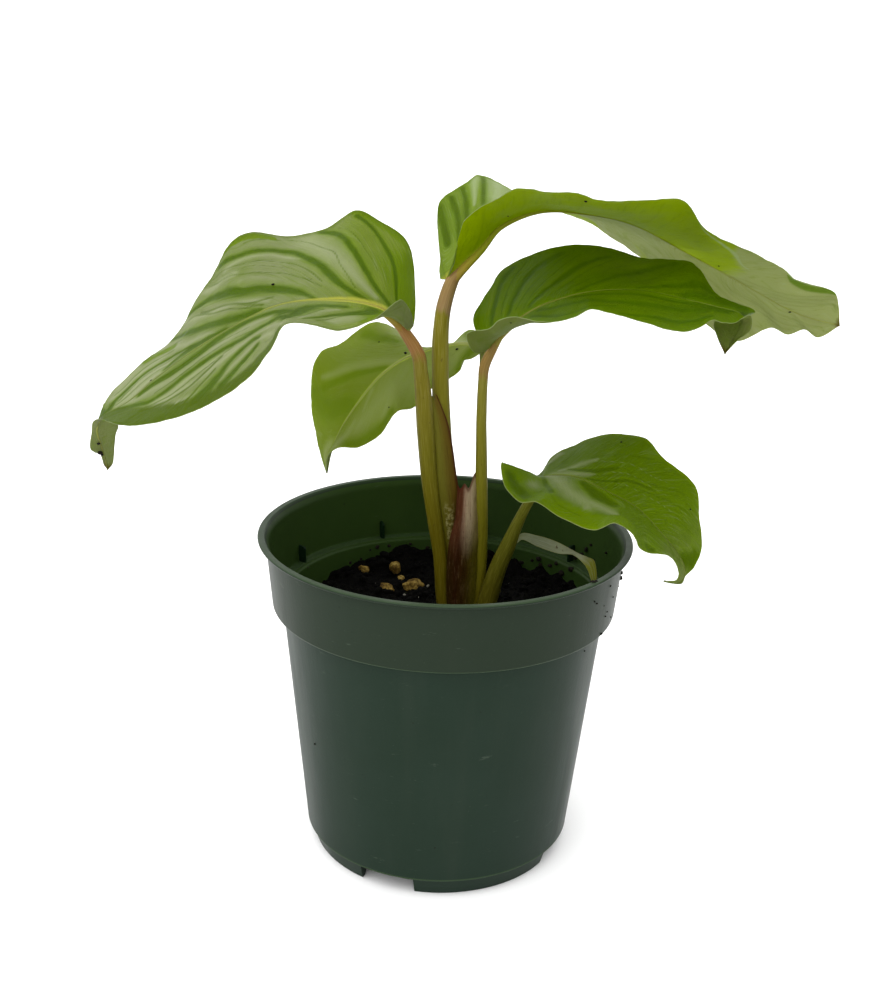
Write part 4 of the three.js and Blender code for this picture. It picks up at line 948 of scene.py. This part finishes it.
LEFT_SHEATH = [
    [(2.6, 1.6, 110), (1, 1.2, 125), (-1, 0.8, 143), (-3.4, 0.8, 158), (-5.6, 0.8, 175), (-7.6, 1, 196),
     (-8.4, 1.4, 208)],
    [(5.2, -0.6, 110), (3.6, -0.7, 128), (2, -0.6, 146), (0.4, -0.6, 161), (-1.2, -0.4, 173), (-4, 0.4, 195),
     (-7.4, 1.8, 209)],
    [(8.5, 2, 110), (6.1, 2, 129), (4.4, 2, 146), (5.5, 2, 161), (4.2, 2, 172), (0, 2.2, 195),
     (-5.8, 2.4, 209.5)],
]
PAPERY_SHEATH = [
    [(1.7, -3.7, 110), (1, -3.6, 127), (1.4, -3, 141), (4, -1.2, 155), (4.7, -0.8, 167), (4.6, -0.6, 171)],
    [(7, -4.4, 110), (7.4, -4.2, 127), (7.6, -3.6, 143), (8.2, -2.8, 158), (8.4, -2, 171.5)],
    [(13.2, -1, 110), (14, 0.2, 127), (14.4, 0.2, 143), (14, 0, 158), (13.6, 0, 171), (13, 0.2, 176.5)],
]
WITHERED_LEAF = [
    [(21, 7, 110), (26, 7.4, 126), (33.5, 4, 143), (40.5, 1.6, 141.4), (45, -0.8, 140.6), (50.5, -3.4, 140),
     (56, -7, 141), (60.8, -13, 139), (62.4, -17, 137), (63.6, -20.6, 133), (64, -23, 122)],
    [(20, 8, 111), (25, 9, 127), (33.5, 5.4, 145.4), (41, 3.2, 145.8), (49, -0.2, 144.6), (56, -5.4, 142.8),
     (59.4, -8.6, 142), (62.5, -12, 142), (64.6, -15, 141.8), (65.8, -20, 136), (66, -22.6, 121.6)],
]


def build_strip(name, edges, material, node, thickness, torn, crease, bulge=0.0):
    rows, columns = 130, 25
    u = np.linspace(0, 1, rows)[:, None].repeat(columns, 1)
    v = np.linspace(0, 1, columns)[None].repeat(rows, 0)
    top = 1 - torn * (0.5 + np.array([noise.noise(Vector((x * 4.0, 2.3, 5.1))) for x in v[0]]))
    lines = [curve_along(edge)(np.clip(u * top, 0, 1)) for edge in edges]
    weights = [1 - v, v]
    if len(edges) == 3:
        weights = [(v - 0.5) * (v - 1) / 0.5, v * (1 - v) / 0.25, v * (v - 0.5) / 0.5]
    points = sum(line * weight[..., None] for line, weight in zip(lines, weights)).reshape(-1, 3)
    grid = np.arange(rows * columns).reshape(rows, columns)
    quads = grid_quads(grid.T)
    loop = np.concatenate([grid[0], grid[1:, -1], grid[-1, -2::-1], grid[-2:0:-1, 0]])
    along, across = u.ravel(), v.ravel()
    rise = crease * smooth_noise(points * [1, 1, 0.25], 2.2, 4.4) + bulge * np.sin(np.pi * across)
    skin, faces, _ = shell(points, face_normals(points, quads), quads, loop, rise, thickness / 2)
    grain = np.stack([across * 2.4, along * 1.1, np.zeros(len(points))], axis=1)
    facts = {"along": along, "across": across, "grain": grain}
    make_piece(name, skin, faces, [material], node,
               {key: np.concatenate([value, value]) for key, value in facts.items()})


# Pot

POT_SIDES = 192
POT_HEIGHT = 147.3
LIP_UNDER = 146.0
BAND_BOTTOM = 115.7
FOOT_HEIGHT = 8.9
WALL = 1.5
NOTCHES = 4
FIRST_NOTCH = -111.5
NOTCH_RADIUS = 57.2
NOTCH_SIZE = (14, 25, 9)
RIBS = 9
FIRST_RIB = -5
RIB_LEVELS = ((-1.5, 3.4, 0.8), (6.6, 3.2, 0.75), (7.4, 2.4, 0.6), (7.8, 0.2, 0.5))
LEDGE = 119


def body_radius(z):
    return 60.8 + (71.8 - 60.8) * (z - FOOT_HEIGHT) / (BAND_BOTTOM - FOOT_HEIGHT)


def band_radius(z):
    return 76 + (79.1 - 76) * (z - BAND_BOTTOM) / (LIP_UNDER - BAND_BOTTOM)


def circle(r, z, count):
    """Points round the pot's axis."""
    angle = 2 * np.pi * np.arange(count) / count
    return np.stack([r * np.cos(angle), r * np.sin(angle), np.full(count, z)], axis=1)


def rounded(corners, steps=5):
    """A profile with each corner (radius, height, rounding) turned into a small arc."""
    points = [corners[0][:2]]
    for before, here, after in zip(corners[:-2], corners[1:-1], corners[2:]):
        p = np.array(here[:2], float)
        a, b = np.array(before[:2], float) - p, np.array(after[:2], float) - p
        reach = min(here[2], np.linalg.norm(a) * 0.45, np.linalg.norm(b) * 0.45)
        start, end = p + a / np.linalg.norm(a) * reach, p + b / np.linalg.norm(b) * reach
        for t in np.arange(steps + 1) / steps:
            points.append((1 - t) ** 2 * start + 2 * t * (1 - t) * p + t**2 * end)
    return points + [corners[-1][:2]]


def carve_notches(pot):
    """The mesh of the pot's body less the drain notches in its foot."""
    mesh = bmesh.new()
    depth, width, height = NOTCH_SIZE
    for k in range(NOTCHES):
        turn = Matrix.Rotation(math.radians(FIRST_NOTCH + 360 / NOTCHES * k), 4, "Z")
        shift = Matrix.Translation(Vector((NOTCH_RADIUS, 0, height / 2 - 1)) * MM)
        size = Matrix.Diagonal((depth * MM, width * MM, height * MM, 1))
        bmesh.ops.create_cube(mesh, size=1, matrix=turn @ shift @ size)
    data = bpy.data.meshes.new("notches")
    mesh.to_mesh(data)
    mesh.free()
    cutter = place_object("notches", data)
    cut = pot.modifiers.new("notches", "BOOLEAN")
    cut.operation = "DIFFERENCE"
    cut.solver = "EXACT"
    cut.object = cutter
    bpy.context.view_layer.update()
    carved = bpy.data.meshes.new_from_object(pot.evaluated_get(bpy.context.evaluated_depsgraph_get()))
    bpy.data.objects.remove(pot)
    bpy.data.objects.remove(cutter)
    return carved


def build_pot(material):
    profile = rounded([
        (0, 0, 0), (12, 0, 0.6), (13.5, 3, 0.6), (53.3, 3, 0.6), (54.8, 0, 0.5), (57.2, 0, 0.7),
        (59.5, 8.3, 0.3),
        (60.9, 8.5, 0.35), (60.9, 9.2, 0.3), (71.7, BAND_BOTTOM - 0.1, 0.4), (75.8, BAND_BOTTOM - 0.1, 0.4),
        (76.2, BAND_BOTTOM + 0.6, 0.4), (79.1, LIP_UNDER, 0.6), (82.1, LIP_UNDER, 0.5), (82.5, 146.8, 0.4),
        (82.1, POT_HEIGHT, 0.4), (79.5, POT_HEIGHT, 0.4), (band_radius(144) - WALL, 144, 1.2),
        (band_radius(LEDGE) - WALL, LEDGE, 0.8), (71.6, LEDGE - 0.3, 0.5), (71.2, LEDGE - 1.3, 0.5),
        (70.2, LEDGE - 1.8, 0.6), (body_radius(11) - WALL, 11, 2), (56.5, 5, 2), (0, 5, 0)])
    rings = [circle(r, z, POT_SIDES) for r, z in profile[1:-1]]
    points = np.concatenate([[(0, 0, profile[0][1])], *rings, [(0, 0, profile[-1][1])]])
    end = len(points) - 1
    faces = [face[::-1] for face in ring_quads(len(rings), POT_SIDES, 1)]
    for k in range(POT_SIDES):
        n = (k + 1) % POT_SIDES
        faces += [(0, 1 + n, 1 + k), (end - POT_SIDES + k, end - POT_SIDES + n, end)]
    carved = carve_notches(place_object("pot_body", new_mesh("pot_body", points, faces)))

    points = [tuple(v.co / MM) for v in carved.vertices]
    faces = [tuple(p.vertices) for p in carved.polygons]
    outer = band_radius(LEDGE) - WALL + 0.4
    for k in range(RIBS):
        a = math.radians(FIRST_RIB + 360 / RIBS * k)
        radial, across = Vector((math.cos(a), math.sin(a), 0)), Vector((-math.sin(a), math.cos(a), 0))
        start = len(points)
        for level, inset, wide in RIB_LEVELS:
            for r, w in ((outer, -wide), (outer - inset, -wide * 0.8), (outer - inset - 0.15, 0),
                         (outer - inset, wide * 0.8), (outer, wide)):
                points.append(tuple(radial * r + across * w + Vector((0, 0, LEDGE + level))))
        faces += [face[::-1] for face in ring_quads(len(RIB_LEVELS), 5, start)]
        faces += [tuple(range(start + 4, start - 1, -1)), tuple(range(start + 15, start + 20))]
    points = np.array(points)
    r, z = np.hypot(points[:, 0], points[:, 1]), points[:, 2]
    outside = np.where(z < BAND_BOTTOM, body_radius(z), band_radius(z))
    inner = (r < outside - 0.9) & (z > 10) & (z < POT_HEIGHT - 0.5)
    # painted highlights: the rim top, the step under the band and the foot ring, and a light line along the
    # inner ledge
    edge = ((np.abs(z - POT_HEIGHT) < 0.35) | ((np.abs(z - BAND_BOTTOM) < 0.5) & (r > 75.6))
            | ((np.abs(z - 8.8) < 0.5) & (r > 60.6)))
    ledge_highlight = 0.75 * ((np.abs(z - LEDGE + 0.1) < 0.3) & inner & (r > 71.3))
    # the rib points, drawn dark in the pot material as painted shade
    painted_rib_shadow = np.arange(len(points)) >= len(carved.vertices)
    facts = {"inner": inner, "edge": np.maximum(edge, ledge_highlight), "painted_rib_shadow": painted_rib_shadow}
    make_piece("nursery_pot", points, faces, [material], "pot", facts, sharp=32)


# Soil and what lies in and on it

SOIL_LEVEL = 107.3
SOIL_RADIUS = 69.0
SOIL_SECTORS = 340
SOIL_RINGS = 104
SCATTER_RADIUS = 68
CLUMP = (11, 4)
CLUMP_RADIUS = 15
BARK = [(-23.5, 46, 3.2, 0.95, 4.4), (-14.4, 28, 5.4, 0.5, 1.2), (-26.5, 24.5, 3.6, 0.5, 0.8),
        (-38.6, 46, 2.7, 0.7, 1.2), (-20.5, 41, 1.9, 0.6, 1.4)]
MOUNDS = [(-38, 57, 2.0, 8), (-28, 62, 3.4, 8), (-18, 66, 4, 6), (-7, 69, 3, 6), (21, 66, 3, 7),
          (33, 60, 1, 6),
          (48, 52, 4.6, 4), (56, 44, 3.6, 5), (62, 34, 4, 6), (-56, 38, -1.2, 9), (40, 30, 2.5, 9)]


def soil_height(x, y):
    height = (SOIL_LEVEL + 0.03 * y + 1.1 * math.sin(0.13 * x + 1) * math.cos(0.11 * y + 2)
              + 0.7 * math.sin(0.29 * x + 0.21 * y))
    for mx, my, rise, reach in MOUNDS:
        height += rise * math.exp(-((x - mx) ** 2 + (y - my) ** 2) / reach**2)
    place = Vector((x, y, 0))
    rough = (2.4 * noise.noise(place / 8) + 1.5 * noise.noise(place / 3.4 + Vector((7, 3, 1)))
             - 1.2 * abs(noise.noise(place / 2.2 + Vector((2, 8, 5)))) + 0.7 * noise.noise(place / 1.3))
    clump = math.dist((x, y), CLUMP)
    return height + rough * min(1, clump / 16) - (0.8 if clump < 12 else 0)


def build_soil(material):
    points = [(0, 0, soil_height(0, 0))]
    for i in range(1, SOIL_RINGS + 1):
        for x, y, _ in circle((i / SOIL_RINGS) ** 0.85, 0, SOIL_SECTORS):
            height = soil_height(SOIL_RADIUS * x, SOIL_RADIUS * y)
            r = body_radius(height) - WALL - 0.15
            points.append((r * x, r * y, height))
    for z, r in ((60, body_radius(60) - WALL - 0.3), (11, body_radius(11) - WALL - 0.3), (5.3, 56.3)):
        points += circle(r, z, SOIL_SECTORS).tolist()
    faces = [(0, 1 + k, 1 + (k + 1) % SOIL_SECTORS) for k in range(SOIL_SECTORS)]
    faces += ring_quads(SOIL_RINGS + 3, SOIL_SECTORS, 1)
    faces.append(tuple(range(len(points) - 1, len(points) - SOIL_SECTORS - 1, -1)))
    make_piece("potting_soil", points, faces, [material], "soil", sharp=180)


def lump_points(rng, size, flat, detail):
    """A rough closed lump: a displaced ball, squashed and turned."""
    mesh = bmesh.new()
    bmesh.ops.create_icosphere(mesh, subdivisions=detail, radius=1)
    seed = Vector((rng.uniform(0, 50), rng.uniform(0, 50), rng.uniform(0, 50)))
    turn = Matrix.Rotation(rng.uniform(0, 6.28), 3, "Z") @ Matrix.Rotation(rng.uniform(-0.5, 0.5), 3, "X")
    stretch = Vector((size * rng.uniform(0.8, 1.25), size * rng.uniform(0.65, 1.0), size * flat))
    points = []
    for v in mesh.verts:
        p = v.co * (1 + 0.35 * noise.noise(v.co * 1.3 + seed) + 0.15 * noise.noise(v.co * 3.1 + seed))
        points.append(turn @ (p * stretch))
    faces = [tuple(v.index for v in f.verts) for f in mesh.faces]
    mesh.free()
    return points, faces


def build_lumps(name, places, material, detail, flat, seed):
    """Many small lumps as one piece; a place is x, y, z, size."""
    rng = random.Random(seed)
    points, faces = [], []
    for x, y, z, size in places:
        lump, lump_faces = lump_points(rng, size, flat, detail)
        faces += [tuple(len(points) + k for k in f) for f in lump_faces]
        points += [tuple(p + Vector((x, y, z))) for p in lump]
    make_piece(name, points, faces, [material], None, sharp=180)


def scatter(seed, count, low, high, sink):
    """Places and sizes of crumbs on the soil, clear of the clump and of the wall."""
    rng = random.Random(seed)
    places = []
    while len(places) < count:
        r, a = SCATTER_RADIUS * math.sqrt(rng.random()), rng.uniform(0, 2 * math.pi)
        x, y = r * math.cos(a), r * math.sin(a)
        size = low + (high - low) * rng.random() ** 2
        if math.dist((x, y), CLUMP) > CLUMP_RADIUS and r + size < SCATTER_RADIUS + 0.5:
            places.append((x, y, soil_height(x, y) + size * sink, size))
    return places


def on_wall(dirt, step, inset):
    """Places of dirt given as angle, height, size, at an inset from the pot's outside, which steps out."""
    for degrees, z, size in dirt:
        r = (band_radius(z) if z > step else body_radius(z)) - inset
        yield r * math.cos(math.radians(degrees)), r * math.sin(math.radians(degrees)), z, size


# Put it together

blades = {}
for name in LEAVES:
    blades[name], foot = build_blade(name)
    STALKS[name] += foot
for name, path in STALKS.items():
    build_tube(f"stem_{name}", path, 130, 40, stem_material(f"stalk_{name}", STALK_COLOURS[name]),
               f"stalk_{name}", 0.012)
root_colours = [(0.3, (70, 50, 28)), (0.5, (128, 96, 60)), (0.7, (150, 118, 78))]
build_tube("rootstock_grown", ROOTSTOCK, 60, 32, rough_material("rootstock", 260, 0.0006, root_colours),
           "rootstock", 0.03)
build_strip("dry_sheath_left", LEFT_SHEATH, old_sheath_material(), "sheath_left",
            0.3, 0.02, 0.15)
build_strip("dry_sheath_papery", PAPERY_SHEATH, papery_material(), "sheath_papery",
            0.25, 0.05, 0.45)
build_strip("old_leaf", WITHERED_LEAF, withered_material(), "withered_leaf",
            0.4, 0.0, 0.35, 0.4)

build_pot(plastic_material())
soil_colours = [(0.3, (2, 2, 1)), (0.5, (5, 4, 3)), (0.62, (11, 9, 6)), (0.78, (32, 26, 18))]
soil_material = rough_material("soil", 420, 0.0014, soil_colours, 0.9, 0.06)
build_soil(soil_material)
build_lumps("soil_crumbs", scatter(5, 900, 0.6, 2.6, 0.15), soil_material, 2, 0.8, 3)
grit_colours = [(0.35, (96, 92, 82)), (0.5, (140, 136, 126)), (0.7, (176, 172, 160))]
pale_grit = rough_material("pale_grit", 900, 0.0004, grit_colours)
grit_places = scatter(9, 40, 0.25, 0.6, 0.3) + [(-7.3, 28.1, 109.5, 0.9), (-18, 18, 109, 0.7)]
build_lumps("soil_grit", grit_places, pale_grit, 1, 0.8, 4)
bark_colours = [(0.34, (34, 20, 5)), (0.46, (84, 64, 22)), (0.56, (136, 112, 54)), (0.7, (172, 154, 100))]
bark_material = rough_material("bark", 240, 0.0008, bark_colours, 0.75, 0.08)
for k, (x, y, size, flat, rise) in enumerate(BARK):
    chip = (x, y, soil_height(x, y) + rise, size)
    build_lumps(f"bark_chip_{k + 1}", [chip], bark_material, 3, flat, 6 + k)

dirt = rough_material("dirt", 700, 0.0005, [(0.3, (8, 7, 4)), (0.5, (22, 18, 12)), (0.7, (44, 36, 26))])
WALL_DIRT = [
    (118.3, 115.4, 1.3), (113.1, 115.2, 1.0), (104.2, 115.2, 0.9), (97, 113, 1.1), (121.5, 114.6, 0.6),
    (131.2, 110.5, 0.9), (48.7, 115.4, 1.4), (47.7, 112.5, 1.6), (42.7, 114, 1.3), (39.7, 116.4, 1.2),
    (33.5, 121, 1.2), (30, 124, 1.4), (27.8, 127.6, 1.5), (25.4, 131, 0.8), (13.4, 133, 0.7),
    (52, 113.5, 1.0),
    (57, 111, 1.2), (126, 111, 0.8), (109, 113, 0.8), (36, 113, 1.8), (31, 117, 1.6), (22, 125, 0.7)]
OUTER_DIRT = [
    (-144.8, 61.1, 0.6), (-28.3, 116.9, 0.9), (-26, 126.2, 0.5), (-37.6, 136.6, 0.6), (-36, 135, 0.5),
    (-31.6, 109.2, 0.4), (-90.4, 26.6, 0.35), (-27.3, 138.9, 0.6), (-27.1, 124.6, 0.6), (-19.6, 120.2, 0.6),
    (-12, 137, 1.2), (-9, 133, 1.3), (-7, 128, 0.6), (-30, 131, 0.4), (-22, 131, 0.5)]
RIM_DIRT = [(60.2, -52.6, 147.3, 1.2), (61.6, -51.4, 147.2, 0.8), (-56, -45.9, 147, 0.4)]
build_lumps("wall_dirt", on_wall(WALL_DIRT, LEDGE, WALL + 0.3), dirt, 2, 0.8, 12)
build_lumps("pot_dirt", on_wall(OUTER_DIRT, BAND_BOTTOM, 0), dirt, 2, 0.7, 14)
build_lumps("rim_dirt", RIM_DIRT, dirt, 2, 0.6, 16)

# Specks on the leaves: half, place along and across it, size, 1 for the upper side or -1 for the underside

SPECKS = [
    ("left", "left", 0.933, 0.22, 0.9, -1), ("left", "left", 0.958, 0.36, 1.3, -1),
    ("left", "left", 0.965, 0.4, 0.8, -1), ("left", "right", 0.335, 0.29, 0.7, 1),
    ("left", "right", 0.66, 0.04, 0.6, 1), ("top_right", "left", 0.18, 0.13, 0.4, -1),
    ("top_right", "right", 0.18, 0.2, 0.4, -1), ("top_right", "right", 0.366, 0.74, 0.7, -1),
    ("top_right", "right", 0.676, 0.15, 0.5, -1), ("top_right", "left", 0.868, 0.147, 0.6, -1),
    ("middle_right", "right", 0.128, 0.85, 0.5, -1), ("back_left", "left", 0.12, 0.215, 0.8, 1),
    ("back_left", "right", 0.344, 0.1, 0.8, 1), ("back_left", "right", 0.41, 0.54, 0.6, 1),
    ("back_left", "left", 0.46, 0.765, 0.5, 1), ("lower_right", "left", 0.29, 0.84, 0.5, 1),
    ("lower_right", "left", 0.623, 0.765, 0.5, 1)]
specks = []
for name, side, g, s, size, face in SPECKS:
    here, nearby, outward = blades[name].point(side, [g, g + 0.01, g], [s, s, s + 0.02])
    normal = unit(np.cross(nearby - here, outward - here) * blades[name].half[side].side) * face
    specks.append((*(here + normal * 0.25), size))
build_lumps("leaf_specks", specks, dirt, 2, 0.6, 18)

# Floor, light, camera

FLOOR_HALF = 30000
FOCAL_LENGTH = 48.6
CAMERA_PLACE = (-0.0018, -0.5593, 0.3554)
CAMERA_RIGHT = (0.9995, 0.01, 0.0291)
CAMERA_UP = (-0.0307, 0.3263, 0.9448)
CAMERA_BACK = (0, -0.9452, 0.3264)
FLOOR_CORNERS = [(-FLOOR_HALF, -FLOOR_HALF, 0), (FLOOR_HALF, -FLOOR_HALF, 0), (FLOOR_HALF, FLOOR_HALF, 0),
                 (-FLOOR_HALF, FLOOR_HALF, 0)]
floor = place_object("floor", new_mesh("floor", FLOOR_CORNERS, [(0, 1, 2, 3)]))
floor_look = Shading("floor")
cloud = floor_look.noise(floor_look.place(), 3.0)
floor_look.shade = floor_look.mix(cloud, (252, 252, 252), (250, 250, 250))
floor.data.materials.append(floor_look.surface(0.9, None, 0.1))

LIGHTS = [("ceiling", (-0.25, 0.35, 1.5), 2.5, 110), ("front", (-0.5, -1.2, 1.2), 1.95, 70)]
for name, place, power, spread in LIGHTS:
    light = bpy.data.lights.new(name, "SUN")
    light.energy = power
    light.angle = math.radians(spread)
    lamp = place_object(name, light)
    lamp.location = place
    lamp.rotation_euler = (-Vector(place)).to_track_quat("-Z", "Y").to_euler()

sky = Shading("studio", kind=bpy.data.worlds)
way = sky.node("TexCoord", {}, "Generated")
depth, height = (sky.node("SeparateXYZ", {"Vector": way}, axis) for axis in "YZ")
strength = sky.times(sky.ramp(depth, -0.7, 0.35, 0.65, 1.37), sky.ramp(height, 0.1, 0.8, 1.0, 0.55))
background = sky.node("Background", {"Color": (255, 255, 255), "Strength": strength})
bpy.context.scene.world = sky.end("World", background)
bpy.context.scene.view_settings.view_transform = "Standard"

camera = place_object("camera", bpy.data.cameras.new("camera"))
camera.data.lens = FOCAL_LENGTH
camera.data.sensor_width = 36
camera.data.clip_end = 50
turn = Matrix((CAMERA_RIGHT, CAMERA_UP, CAMERA_BACK)).transposed().to_4x4()
camera.matrix_world = Matrix.Translation(CAMERA_PLACE) @ turn
bpy.context.scene.camera = camera
